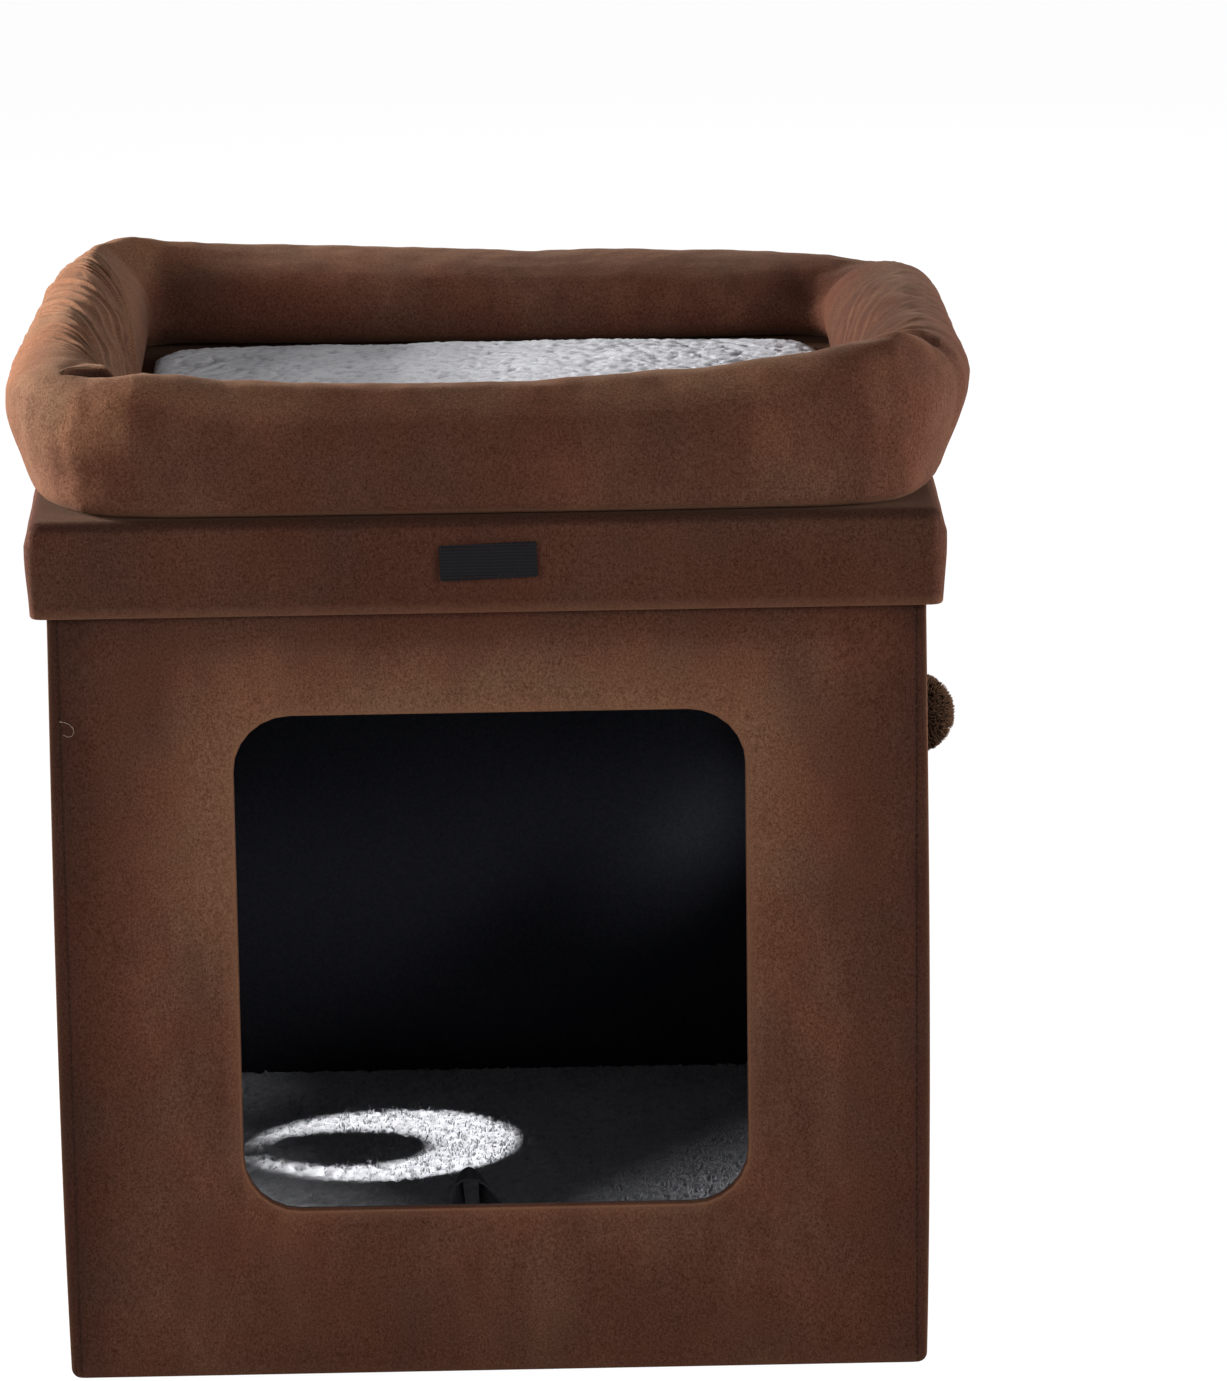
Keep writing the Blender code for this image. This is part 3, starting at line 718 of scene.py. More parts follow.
class CATHOUSE_OT_studio(bpy.types.Operator):
    """White floor and background, the lamps and the camera of the photograph."""

    bl_idname = "cathouse.studio"
    bl_label = "Studio"

    def execute(self, context):
        scene = context.scene
        scene.view_settings.view_transform = "Standard"
        self.floor()
        self.world(scene)
        for name, place, target, power, size in LAMPS:
            light = bpy.data.lights.new(name, "AREA")
            light.shape = "DISK"
            light.size = size
            self.aim(light, place, target, power)
        self.hole_lamp()
        self.camera(scene)
        return {"FINISHED"}

    def floor(self):
        model = bmesh.new()
        bmesh.ops.create_grid(model, x_segments=1, y_segments=1, size=6)
        bmesh.ops.translate(model, verts=model.verts, vec=(0, 0, -0.4 * MM))
        finish = Finish("studio_floor", 1.0, specular=0.0)
        finish.shader.inputs["Base Color"].default_value = (0.5, 0.5, 0.5, 1)
        rays = finish.node("LightPath")
        seen = rays.maths("MAXIMUM", rays, finish.node("LightPath", out=3))
        glow = finish.node("Emission", Color=(1, 1, 1), Strength=1.1)
        surface = Value(finish.tree, finish.shader.outputs[0])
        mixed = finish.node("MixShader", s0=seen * 0.88, s1=surface, s2=glow)
        finish.tree.links.new(mixed.socket, finish.tree.nodes["Material Output"].inputs["Surface"])
        new_piece("studio_floor", model, finish.material, sharp=0)

    def world(self, scene):
        world = bpy.data.worlds.new("studio_world")
        world.use_nodes = True
        scene.world = world
        tree = world.node_tree
        background = tree.nodes["Background"]
        background.inputs["Color"].default_value = (1, 1, 1, 1)
        path = tree.nodes.new("ShaderNodeLightPath")
        seen = Value(tree, path.outputs["Is Camera Ray"])
        for name in ("Is Glossy Ray", "Is Transmission Ray"):
            seen = seen.maths("MAXIMUM", seen, Value(tree, path.outputs[name]))
        strength = seen * 0.86 + 0.14
        tree.links.new(strength.socket, background.inputs["Strength"])

    def hole_lamp(self):
        """The lamp whose light falls through the round hole onto the mat."""
        light = bpy.data.lights.new("through_hole", "SPOT")
        light.shadow_soft_size = 11 * MM
        light.spot_size = math.radians(24)
        light.spot_blend = 1
        self.aim(light, (0.979, 0.155, 0.805), (0.184, 0.0896, 0.194), 140)

    def aim(self, light, place, target, power):
        light.energy = power
        lamp = bpy.data.objects.new(light.name, light)
        lamp.location = place
        lamp.rotation_euler = (Vector(target) - Vector(place)).to_track_quat("-Z", "Y").to_euler()
        lamp.visible_camera = False
        bpy.context.scene.collection.objects.link(lamp)

    def camera(self, scene):
        flat = math.cos(CAMERA_PITCH)
        forward = Vector((math.sin(CAMERA_YAW) * flat, math.cos(CAMERA_YAW) * flat, -math.sin(CAMERA_PITCH)))
        level = Vector((math.cos(CAMERA_YAW), -math.sin(CAMERA_YAW), 0))
        upright = level.cross(forward)
        right = math.cos(CAMERA_ROLL) * level + math.sin(CAMERA_ROLL) * upright
        up = math.cos(CAMERA_ROLL) * upright - math.sin(CAMERA_ROLL) * level
        turn = Matrix((right, up, -forward)).transposed().to_4x4()
        lens = bpy.data.cameras.new("photo_camera")
        lens.sensor_width = SENSOR
        lens.lens = SENSOR * FOCAL_PIXELS / PHOTO_HEIGHT
        lens.clip_end = 30
        camera = bpy.data.objects.new("photo_camera", lens)
        camera.matrix_world = Matrix.Translation(CAMERA_PLACE) @ turn
        bpy.context.scene.collection.objects.link(camera)
        scene.camera = camera


class CATHOUSE_OT_end_walls(bpy.types.Operator):
    """Suede skins of the front and back walls, their sewn fins and stitches."""

    bl_idname = "cathouse.end_walls"
    bl_label = "Front and back walls"

    def execute(self, context):
        seam = HOUSE_HALF - 4.3 * MM
        cover_panel("front_cover", "front_wall", 1, -1, DOOR, (-seam, seam), seed=1)
        cover_panel("back_cover", "back_wall", 1, 1, None, (-seam, seam), seed=2)
        low = 3 * MM
        high = WALL_HEIGHT - 2 * MM
        sunk_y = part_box("front_cover")[0].y + 0.55 * MM
        for side, hand in ((-1, "left"), (1, "right")):
            x = side * seam
            for wall, y, out in (("front", sunk_y, -1), ("back", -sunk_y, 1)):
                stitch_row(f"stitches_{wall}_{hand}", wall + "_wall", (x, y, low), (x, y, high), (0, out, 0))
        self.thread_end()
        return {"FINISHED"}

    def thread_end(self):
        """A fine thread end, as a thin tube through its points."""
        radius = 0.13 * MM
        points = [Vector(point) * MM for point in LOOSE_THREAD]
        model = bmesh.new()
        for start, end in zip(points, points[1:]):
            along = end - start
            add_rod(model, (start + end) / 2, along, along.length, (radius, radius), 5)
        ends = new_piece("thread_ends", model, finish_of("loose_thread"), sharp=0)
        settle(ends, "front_wall", "suede")


class CATHOUSE_OT_side_walls(bpy.types.Operator):
    """Suede skins of the four side halves, and the bare strips that fold between them."""

    bl_idname = "cathouse.side_walls"
    bl_label = "Side walls"

    def execute(self, context):
        for side, hand in ((-1, "left"), (1, "right")):
            for part in ("rear", "front"):
                name = f"{hand}_{part}"
                opening = HOLE if name == "right_rear" else None
                cover_panel(name + "_cover", name, 0, side, opening, seed=len(name) + side)
            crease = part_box(f"{hand}_crease_strip")
            front_bodies = ("left_front", "front_wall") if side < 0 else ("right_front",)
            for strip, bodies, start, end, seed in (
                ("crease", (f"{hand}_rear", f"{hand}_front"), crease[1].y, crease[0].y, 0),
                ("rear_corner", ("back_wall", f"{hand}_rear"), STRIP_END_Y, CORNER_AXIS_Y, 3),
                ("front_corner", front_bodies, -CORNER_AXIS_Y, -STRIP_END_Y, 6),
            ):
                fold_strip(f"{hand}_{strip}_strip", bodies, side + seed)
        return {"FINISHED"}


class CATHOUSE_OT_linings(bpy.types.Operator):
    """Finishes of the linings and of the boards inside the covers."""

    bl_idname = "cathouse.linings"
    bl_label = "Linings and boards"

    def execute(self, context):
        slots = {row["node"]: row["material_slot"] for row in frame["record"]["subparts"]}
        for name, node in frame["nodes"].items():
            material = finish_of(slots[name])
            for place in node.material_slots:
                place.material = material
            if not node.material_slots:
                node.data.materials.append(material)
        return {"FINISHED"}


class CATHOUSE_OT_floor(bpy.types.Operator):
    """Base cloth, and the mat with its plush, board, backing and pull loop."""

    bl_idname = "cathouse.floor"
    bl_label = "Base cloth and mat"

    def execute(self, context):
        self.base_cloth()
        for node, slot in (("mat_backing", "lining"), ("mat_board", "fibreboard")):
            piece = new_piece("floor_" + node, merged_copy(node), finish_of(slot))
            settle(piece, "mat", slot, node)
            press_to_back(piece)
        self.plush()
        self.pull_loop()
        return {"FINISHED"}

    def base_cloth(self):
        low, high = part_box("base_cloth")
        model = merged_copy("base_cloth")
        slice_at(model, 0, steps(low.x, high.x, 12 * MM))
        slice_at(model, 1, steps(low.y, high.y, 12 * MM))
        cloth = new_piece("floor_base_cloth", model, finish_of("lining"))
        settle(cloth, "back_wall", "lining", "base_cloth")
        press_to_back(cloth)

    def plush(self):
        look = settings("plush")
        low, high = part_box("mat_plush")
        size = high - low
        step = 1.5 * MM
        middle = Matrix.Translation(((low.x + high.x) / 2, 0, high.z))
        model = bmesh.new()
        bmesh.ops.create_grid(
            model,
            x_segments=int(size.x / step),
            y_segments=int(size.y / step),
            size=0.5,
            matrix=middle @ Matrix.Diagonal((size.x, size.y, 1, 1)),
        )
        for drop in (3 * MM, high.z - low.z - 3 * MM):
            bmesh.ops.translate(model, verts=grow(model, open_edges(model)), vec=(0, 0, -drop))
        bmesh.ops.holes_fill(model, edges=open_edges(model), sides=0)
        bmesh.ops.recalc_face_normals(model, faces=model.faces)
        mat = new_piece("plush_floor_mat", model, finish_of("plush"), sharp=0)
        mesh = mat.data
        points = points_of(mesh)
        x, y, z = points.T
        inside = rising(np.minimum.reduce([x - low.x, high.x - x, y - low.y, high.y - y]), 0, 12)
        top = z > high.z - 1 * MM
        tufts, lean = knobs(points, 3.5 * MM, 3)
        points[:, 2] += np.where(top, inside * fractal(points, 16, 9) * 0.8 * MM, 0)
        points[:, 2] += np.where(top, (0.4 + 0.6 * inside) * (tufts - 0.45) * look.tuft, 0)
        points += lean * (top * inside * 0.5 * MM)[:, None]
        move_points(mesh, points)
        note(mesh, "tuft", np.where(top, tufts, 0.4))
        settle(mat, "mat", "plush", "mat_plush")
        press_to_back(mat)
        self.pile(low, high)

    def pile(self, low, high):
        """Loose ends of the plush that stand above its tufts: a tile of them, repeated and then bent."""
        draw = random.Random(11)
        tiles = 9
        row = 19
        edge = 2 * MM
        root = 1.6 * MM
        tile_x = (high.x - low.x - 2 * edge) / tiles
        tile_y = (high.y - low.y - 2 * edge) / tiles
        corner = Vector((low.x + edge, low.y + edge, high.z - root))
        model = bmesh.new()
        for i in range(row * row):
            across = (i % row + draw.random()) / row * tile_x
            back = (i // row + draw.random()) / row * tile_y
            length = draw.uniform(2.2, 3.8) * MM
            lean = Vector((draw.gauss(0, 0.45), draw.gauss(0, 0.45), 1)).normalized()
            middle = corner + Vector((across, back, 0)) + lean * length / 2
            add_rod(model, middle, lean, length, (0.85 * MM, 0.3 * MM), 3, capped=False)
        pile = new_piece("plush_floor_pile", model, finish_of("plush"), sharp=0)
        for offset in ((tile_x, 0, 0), (0, tile_y, 0)):
            rows = pile.modifiers.new("Rows", "ARRAY")
            rows.count = tiles
            rows.use_relative_offset = False
            rows.use_constant_offset = True
            rows.constant_offset_displace = offset
        apply_modifiers(pile)
        points = points_of(pile.data)
        rise = np.clip((points[:, 2] - high.z + root) / (4 * MM), 0, 1.3)
        bend = np.array([noise.noise_vector(Vector(p) * 130) for p in points])
        points[:, :2] += bend[:, :2] * (rise * 2.2 * MM)[:, None]
        points[:, 2] += bend[:, 2] * 1.2 * MM * rise
        for axis in (0, 1):
            points[:, axis] = np.clip(points[:, axis], low[axis] + 0.5 * MM, high[axis] - 0.5 * MM)
        move_points(pile.data, points)
        # Painted shade towards the roots of the loose ends
        note(pile.data, "tuft", 0.55 + 0.4 * rise)
        settle(pile, "mat", "plush")
        press_to_back(pile)

    def pull_loop(self):
        """The ribbon on edge: up, over, and down again, with its right leg twisted open."""
        low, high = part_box("mat_pull_loop")
        middle_y = (low.y + high.y) / 2
        half_width = (high.y - low.y) / 2
        # Along the ribbon: its middle's x and z in mm, and its turn in degrees
        leg = [i / 14 for i in range(15)]
        stations = [(-17.3 + 0.5 * math.sin(t * 5), 15.3 + 69.5 * t, 25 - 15 * t**4) for t in leg]
        stations += [(-16.4, 85.9, 6), (-15.0, 86.9, 4), (-13.3, 87.5, 1), (-11.8, 87.7, -2)]
        stations += [(-9.8, 87.1, -5), (-7.6, 86.0, -8), (-5.9, 84.6, -12), (-5.0, 82.8, -17)]
        for t in leg:
            opened = smoothstep(t, 0, 0.16)
            stations.append((-4.3 + 3.2 * opened, 81.2 - 65.9 * t, -22 - 31 * opened + 8 * t))
        model = bmesh.new()
        pair = [model.verts.new((0, 0, 0)), model.verts.new((0, 0, 0))]
        edge = model.edges.new(pair)
        for number, (x, z, turn) in enumerate(stations):
            angle = math.radians(turn)
            across = Vector((math.sin(angle), math.cos(angle), 0)) * half_width
            middle = Vector((x * MM, middle_y, z * MM))
            if number:
                verts = grow(model, [edge])
                if not model.edges.get((verts[0], pair[0])):
                    verts.reverse()
                pair = verts
                edge = model.edges.get(pair)
            pair[0].co = middle - across
            pair[1].co = middle + across
        bmesh.ops.recalc_face_normals(model, faces=model.faces)
        bmesh.ops.solidify(model, geom=model.faces[:], thickness=1.1 * MM)
        loop = new_piece("tape_pull_loop", model, finish_of("webbing"))
        settle(loop, "mat", "webbing", "mat_pull_loop")
        press_to_back(loop)


class CATHOUSE_OT_lid(bpy.types.Operator):
    """Suede skin of the lid and the blank patch on its skirt."""

    bl_idname = "cathouse.lid"
    bl_label = "Lid"

    def execute(self, context):
        self.cover()
        self.patch()
        return {"FINISHED"}

    def cover(self):
        low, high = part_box("lid_cover")
        model = merged_copy("lid_cover")

        def at_bottom_edge(point):
            outer = max(abs(point.x) - high.x, abs(point.y) - high.y) > -5.2 * MM
            return point.z < low.z + 0.01 * MM and outer

        def faces_out(face):
            return abs(face.normal.z) < 0.5 and face.normal.dot(face.calc_center_median()) > 0

        bottom = [
            edge
            for edge in sharp_edges(model, at_bottom_edge)
            if any(faces_out(face) for face in edge.link_faces)
        ]
        bevel(model, bottom, settings("suede").edge)
        for axis, step in ((0, 6 * MM), (1, 6 * MM), (2, 5 * MM)):
            slice_at(model, axis, steps(low[axis], high[axis], step))
        cover = new_piece("suede_lid_cover", model, finish_of("suede"))
        mesh = cover.data
        points = points_of(mesh)
        normals = points_of(mesh, "normal")
        x, y, z = points.T
        outer = np.maximum(np.abs(x) - high.x, np.abs(y) - high.y) > -0.95 * MM
        height = (z - low.z) / (high.z - low.z)
        arch = np.sin(np.clip(height, 0, 1) * math.pi)
        wave = fractal(points, 9, 11) * 0.8 * MM + fractal(points, 30, 12) * 0.3 * MM
        flare = 1.3 * MM * smoothstep(height, 0.1, 0.95) + 0.9 * MM * arch
        push = np.where(outer & (z > low.z + 0.3 * MM), flare + wave * arch, 0)
        points += normals * np.array([1, 1, 0]) * push[:, None]
        points[:, 0] -= np.sign(x) * 4.0 * MM * smoothstep(height, 0.78, 1.0) * (np.abs(x) > high.x - 1 * MM)
        move_points(mesh, points)
        # Painted highlight along the skirt's bottom edge
        note(mesh, "fold", np.clip(0.5 * bell(z - low.z, 1.1 * MM) * outer, 0, 1))
        # Lighter overall and darker towards the corners; along the top strip under the rim, painted shadow of
        # the rim
        ends = np.minimum(high.x - np.abs(x), high.y - np.abs(y) + 1 * (np.abs(y) < high.y - 6 * MM))
        upper = smoothstep(z, high.z - 5 * MM, high.z - 1 * MM)
        note(mesh, "nap", 0.28 - 0.45 * bell(ends, 18 * MM) - 0.5 * upper)
        settle(cover, "lid", "suede", "lid_cover")

    def patch(self):
        """The blank patch, a little uneven, and the two rows of stitches along its tilted edges."""
        low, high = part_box("blank_patch")
        model = merged_copy("blank_patch")
        for axis in (0, 2):
            slice_at(model, axis, steps(low[axis], high[axis], 1.5 * MM))
        patch = new_piece("tape_blank_patch", model, finish_of("webbing"))
        points = points_of(patch.data)
        points[:, 1] -= 2.1 * MM + 0.35 * MM * fractal(points, 60, 5)
        move_points(patch.data, points)
        settle(patch, "lid", "webbing", "blank_patch")
        tilt = math.radians(2)
        up = Vector((-math.sin(tilt), 0, math.cos(tilt)))
        reach = Vector((math.cos(tilt), 0, math.sin(tilt))) * ((high.x - low.x) / 2 - 1.6 * MM)
        centre = Vector(((low.x + high.x) / 2, low.y - 2.25 * MM, (low.z + high.z) / 2))
        for name, offset in (("lower", -6.4 * MM), ("upper", 6.4 * MM)):
            middle = centre + up * offset
            stitch_row(f"stitches_patch_{name}", "lid", middle - reach, middle + reach, (0, -1, 0))


class CATHOUSE_OT_bed(bpy.types.Operator):
    """Stuffed rim with its gathers, and the plush cushion inside it."""

    bl_idname = "cathouse.bed"
    bl_label = "Bed"

    def execute(self, context):
        self.rim()
        self.cushion()
        return {"FINISHED"}

    def rim(self):
        rim = evened("suede_bed_rim", "bed_rim", "suede", settings("rim").voxel, swollen=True)
        self.refine(rim.data)
        self.form(rim.data)
        self.crease(rim.data, self.pleat(rim.data))
        settle(rim, "lid", "suede", "bed_rim")

    def refine(self, mesh):
        """Splits the mesh once more where the gathers and the deep pleat are."""
        model = bmesh.new()
        model.from_mesh(mesh)
        edges = [
            edge
            for edge in model.edges
            if all(v.co.x < -146 * MM and v.co.z > LID_TOP + 14 * MM for v in edge.verts)
        ]
        bmesh.ops.subdivide_edges(model, edges=edges, cuts=1, use_grid_fill=True, smooth=0.3)
        model.to_mesh(mesh)
        model.free()
        mesh.shade_smooth()

    def form(self, mesh):
        """The rim's uneven heights, its tucked sides and its drawn-out front base."""
        points = points_of(mesh)
        # These stay views of the points, so each step below sees the steps before it
        x, y, z = points.T
        tuck = (1.2 * (x > 0) + np.where(x > 0, 6.5, 5.0) * (1 - above_lid(z, 4, 46))) * MM
        tuck *= rising(np.abs(x), 180, 207)
        corner = profile(y, (-60, 0), (0, 3), (60, 7), (110, 9.5), (150, 7), (185, 3))
        tuck += corner * rising(-x, 168, 200) * above_lid(z, 8, 30)
        points[:, 0] -= np.sign(x) * tuck
        points[:, 1] -= 6.5 * MM * (1 - above_lid(z, 3, 20)) * rising(-y, 165, 182)
        crest = profile(x, *CREST)
        high = above_lid(z, 25, 48)
        points[:, 2] += crest * rising(-y, 110, 150) * high
        points[:, 2] -= 3.8 * MM * rising(y, 95, 125) * high * rising(x, -166, -146)
        filled = bell(x + 160 * MM, 9 * MM) * (1 - rising(y, -142, -92)) * rising(y, -153, -147)
        points[:, 2] += 8 * MM * filled * above_lid(z, 14, 32)
        points[:, 2] += fractal(points, 16, 21) * 1.5 * MM * high
        move_points(mesh, points)

    def pleat(self, mesh):
        """The deep pleat at the left front corner, where the side's lip hangs over a hollow.

        Gives how deep in the hollow each point is."""
        points = points_of(mesh)
        x, y, z = points.T
        along = np.clip(1 - ((x + 165.5 * MM) / (16.5 * MM)) ** 2, 0, 1)
        rear = -156 * MM + 23 * MM * along**0.7
        front = -160 * MM
        v = (y - front) / np.maximum(rear - front, 1 * MM)
        hollow = smoothstep(v, 0, 0.6) * (1 - smoothstep(v, 0.8, 1.02))
        weight = along**0.5 * above_lid(z, 30, 40)
        points[:, 2] += weight * (2.6 * bell(v - 1.18, 0.3) - 14 * hollow) * MM
        points[:, 1] -= weight * 4.5 * MM * bell(v - 1.1, 0.3)
        move_points(mesh, points)
        return weight * smoothstep(v, 0.1, 0.4) * (1 - smoothstep(v, 0.98, 1.1))

    def crease(self, mesh, hollow):
        """The rim's gathers and folds, and its painted light and shade: highlights along crests and its front
        base seam, lighter tops, left side and inner slope, and shade in the valleys and the pleat's hollow.
        """
        points = points_of(mesh)
        normals = points_of(mesh, "normal")
        x, y, z = points.T
        shift, fold, nap = np.array(self.gathers(points, -1)) + np.array(self.gathers(points, 1))
        for height, width, *path in FOLDS:
            away, share = distance_to(points, path)
            body = bell(away, width * MM) * np.sin(np.clip(share, 0.02, 0.98) * math.pi) ** 0.5
            shift += height * MM * body
            # Raised folds get a painted highlight along their crests
            fold += 0.5 * body * (height > 0)
        shift += fractal(points, 38, 25) * 0.5 * MM
        points += normals * (shift * rise_of(z))[:, None]
        move_points(mesh, points)
        # Painted highlight along the rim's front base seam
        fold += 0.3 * bell(z - LID_TOP - 2.5 * MM, 1.1 * MM) * rising(-y, 180, 190)
        note(mesh, "fold", np.clip(fold, 0, 1))
        # Painted light on the rim's upward-facing tops, fading towards the right
        painted_top_light = smoothstep(normals[:, 2], 0.3, 0.95) * above_lid(z, 26, 50)
        nap += 0.3 * painted_top_light * (1 - 0.8 * rising(x, 120, 170))
        # Painted light over the rim's left side, and painted shade in the pleat's hollow
        nap += 0.38 * rising(-x, 134, 204) - 1.1 * hollow
        # Painted light on the inner slope of the rim's left tube
        inner = rising(-x, 148, 158) * (1 - rising(-x, 178, 196))
        nap += 0.4 * inner * above_lid(z, 22, 44)
        note(mesh, "nap", nap)

    def gathers(self, points, side):
        """Fine ridges over one side of the rim, which fan out from its inner front corner.

        Each ridge is a flat arc on the unrolled tube, from the corner back to the outer face."""
        x, y, z = points.T
        middle = 184 * MM if side < 0 else 187 * MM
        around = np.arctan2(z - LID_TOP - 24 * MM, side * x - middle) / math.pi
        around = np.where(around < -0.5, around + 2, around)
        turned = np.clip(around, 0, 1.2)
        back = y + 153.5 * MM
        # Halving finds where along the corner each point's ridge starts
        low = np.zeros(len(points))
        high = np.full(len(points), 420 * MM)
        for _ in range(22):
            start = (low + high) / 2
            end = 0.745 + 0.33 * rising(start, 180, 245)
            arc = np.clip(1 - (turned / end) ** 2, 0, 1) ** 0.62
            short = start * arc < back
            low = np.where(short, start, low)
            high = np.where(short, high, start)
        turns = start / (12.2 * MM) + 0.55 * np.sin(start * 61 + 1) + 0.3 * np.sin(start * 139 + 0.5)
        turns += 0.35 * fractal(points, 22, 31 + side)
        phase = turns - np.floor(turns)
        tent = 1 - np.abs(2 * phase - 1)
        strength = 0.3 + 0.7 * (0.5 + 0.5 * np.sin(np.floor(turns) * 2.4))
        window = rising(side * x, 146, 153) * smoothstep(around, -0.06, 0.22)
        window *= rising(start, 62, 112) * (1 - rising(start, 300, 345))
        window *= (1 - smoothstep(around, 0.95, 1.15)) * np.clip(arc / 0.3, 0, 1) ** 0.7
        window *= strength * (0.8 + 0.5 * smoothstep(around, 0.3, 0.72)) * (1 if side < 0 else 0.33)
        shift = settings("rim").gather * window * (tent**1.8 - 0.35)
        # Besides the shift: a painted highlight on each crest, and a nap value of painted light on the crests
        # and painted shade in the valleys
        return shift, 0.5 * window * tent**7, 0.75 * window * (tent - 0.55)

    def cushion(self):
        cushion = evened("plush_bed_cushion", "bed_cushion", "plush", 3.6 * MM)
        mesh = cushion.data
        points = points_of(mesh)
        normals = points_of(mesh, "normal")
        tufts, _ = knobs(points, 3.6 * MM, 8)
        shift = fractal(points, 14, 41) * 1.2 * MM + (tufts - 0.45) * 0.6 * settings("plush").tuft
        points += normals * (shift * rise_of(points[:, 2]))[:, None]
        note(mesh, "tuft", tufts)
        # Its edges reach out into the rim
        middle = (points.max(0) + points.min(0)) / 2
        half = (points.max(0) - points.min(0)) / 2
        for axis in (0, 1):
            share = (points[:, axis] - middle[axis]) / half[axis]
            points[:, axis] += 3.4 * MM * np.sign(share) * smoothstep(np.abs(share), 0.6, 1.0)
        move_points(mesh, points)
        settle(cushion, "lid", "plush", "bed_cushion")


# Crest of the rim's front tube: places along it, and how much higher it is there, in mm
CREST = (
    (-170, 1.5), (-150, 4.5), (-132, 4.5), (-112, 2.0), (-80, 0.0), (-16, -1.0),
    (50, -0.5), (92, 1.0), (135, 3.5), (160, 5.5), (178, 5.0), (195, 0.0),
)


# Folds of the rim: height and half width of each in mm, then the points that it follows
FOLDS = (
    (2.0, 4.5, (148, -158, 452), (168, -156, 457), (180, -158, 458), (190, -161, 452), (197, -163, 442)),
    (-6.0, 4.6, (160, -143, 452), (174, -141, 457), (187, -144, 456), (197, -148, 447), (203, -152, 434)),
    (1.5, 1.5, (168, -137, 455), (180, -136, 459), (192, -138, 455), (200, -140, 446), (206, -142, 434)),
    (-1.2, 1.6, (174, -131, 456), (186, -130, 459), (198, -129, 451), (205, -128, 442)),
    (0.9, 1.3, (172, -127, 456), (184, -125, 459), (196, -122, 452), (207, -118, 440)),
    (0.9, 1.6, (168, -120, 456), (182, -112, 459), (197, -98, 453), (209, -80, 440)),
    (-2.6, 2.0, (174, -196, 394), (184, -197, 398), (194, -195, 400), (201, -189, 402), (205, -178, 404)),
    (2.0, 2.2, (178, -196, 392), (190, -197, 395), (198, -193, 396)),
    (-2.2, 1.7, (-159, -158, 445), (-152, -163, 441), (-147, -167, 436)),
    (1.8, 2.6, (-152, -152, 446), (-147, -155, 446), (-143, -158, 444)),
    (-1.5, 2.0, (-141, -150, 446), (-138, -158, 444), (-137, -165, 438)),
    (-3.2, 3.2, (-158, 150, 452), (-152, 138, 452), (-149, 124, 446), (-148, 112, 436)),
    (2.6, 2.6, (-150, 158, 450), (-144, 150, 452), (-139, 140, 448), (-137, 130, 440)),
    (-1.6, 2.2, (-120, 160, 448), (-116, 150, 450), (-112, 138, 444)),
    (1.3, 2.2, (-104, 160, 448), (-100, 148, 450), (-97, 136, 443)),
    (-1.4, 2.4, (-40, 158, 444), (-44, 146, 446), (-42, 134, 440)),
    (-1.5, 2.4, (60, 158, 444), (66, 146, 446), (63, 134, 440)),
    (-2.4, 2.8, (150, 142, 450), (158, 152, 450), (166, 164, 446)),
)


def distance_to(points, path):
    """How far points are from a line through the path, seen mostly from above, and how far along it."""
    flat = np.array([1, 1, 0.35])
    path = np.array(path) * flat * MM
    points = points * flat
    lengths = np.linalg.norm(np.diff(path, axis=0), axis=1)
    passed = np.concatenate([[0], np.cumsum(lengths)])
    nearest = np.full(len(points), 1.0)
    share = np.zeros(len(points))
    for start, end, before, length in zip(path, path[1:], passed, lengths):
        along = np.clip((points - start) @ (end - start) / length**2, 0, 1)
        away = np.linalg.norm(points - start - along[:, None] * (end - start), axis=1)
        closer = away < nearest
        share = np.where(closer, (before + along * length) / passed[-1], share)
        nearest = np.where(closer, away, nearest)
    return nearest, share


def rise_of(z):
    """From 0 at the lid's top, where a form rests, to 1 a little above it."""
    return above_lid(z, 1.2, 6)


def inflate(piece):
    """Swells a closed piece as cloth under pressure, and keeps its base and its reach."""
    mesh = piece.data
    rest = points_of(mesh)
    group = piece.vertex_groups.new(name="held")
    floor = rest[:, 2].min()
    held = [int(i) for i in np.nonzero(rest[:, 2] < floor + 2 * MM)[0]]
    group.add(held, 1.0, "REPLACE")
    cloth = piece.modifiers.new("Filling", "CLOTH")
    values = cloth.settings
    values.use_pressure = True
    values.uniform_pressure_force = SWELL_PRESSURE
    values.mass = 0.3
    values.tension_stiffness = 40
    values.compression_stiffness = 12
    values.shear_stiffness = 8
    values.bending_stiffness = 0.6
    values.vertex_group_mass = "held"
    values.effector_weights.gravity = 0
    values.time_scale = 1.0
    cloth.collision_settings.use_collision = False
    cloth.point_cache.frame_start = 1
    cloth.point_cache.frame_end = SWELL_FRAMES
    scene = bpy.context.scene
    for step in range(1, SWELL_FRAMES + 1):
        scene.frame_set(step)
    graph = bpy.context.evaluated_depsgraph_get()
    swollen = points_of(piece.evaluated_get(graph).data)
    piece.modifiers.clear()
    piece.vertex_groups.clear()
    scene.frame_set(1)
    move = swollen - rest
    length = np.linalg.norm(move, axis=1, keepdims=True)
    move *= np.minimum(1, SWELL_CAP / np.maximum(length, 1e-9))
    move_points(mesh, rest + move)


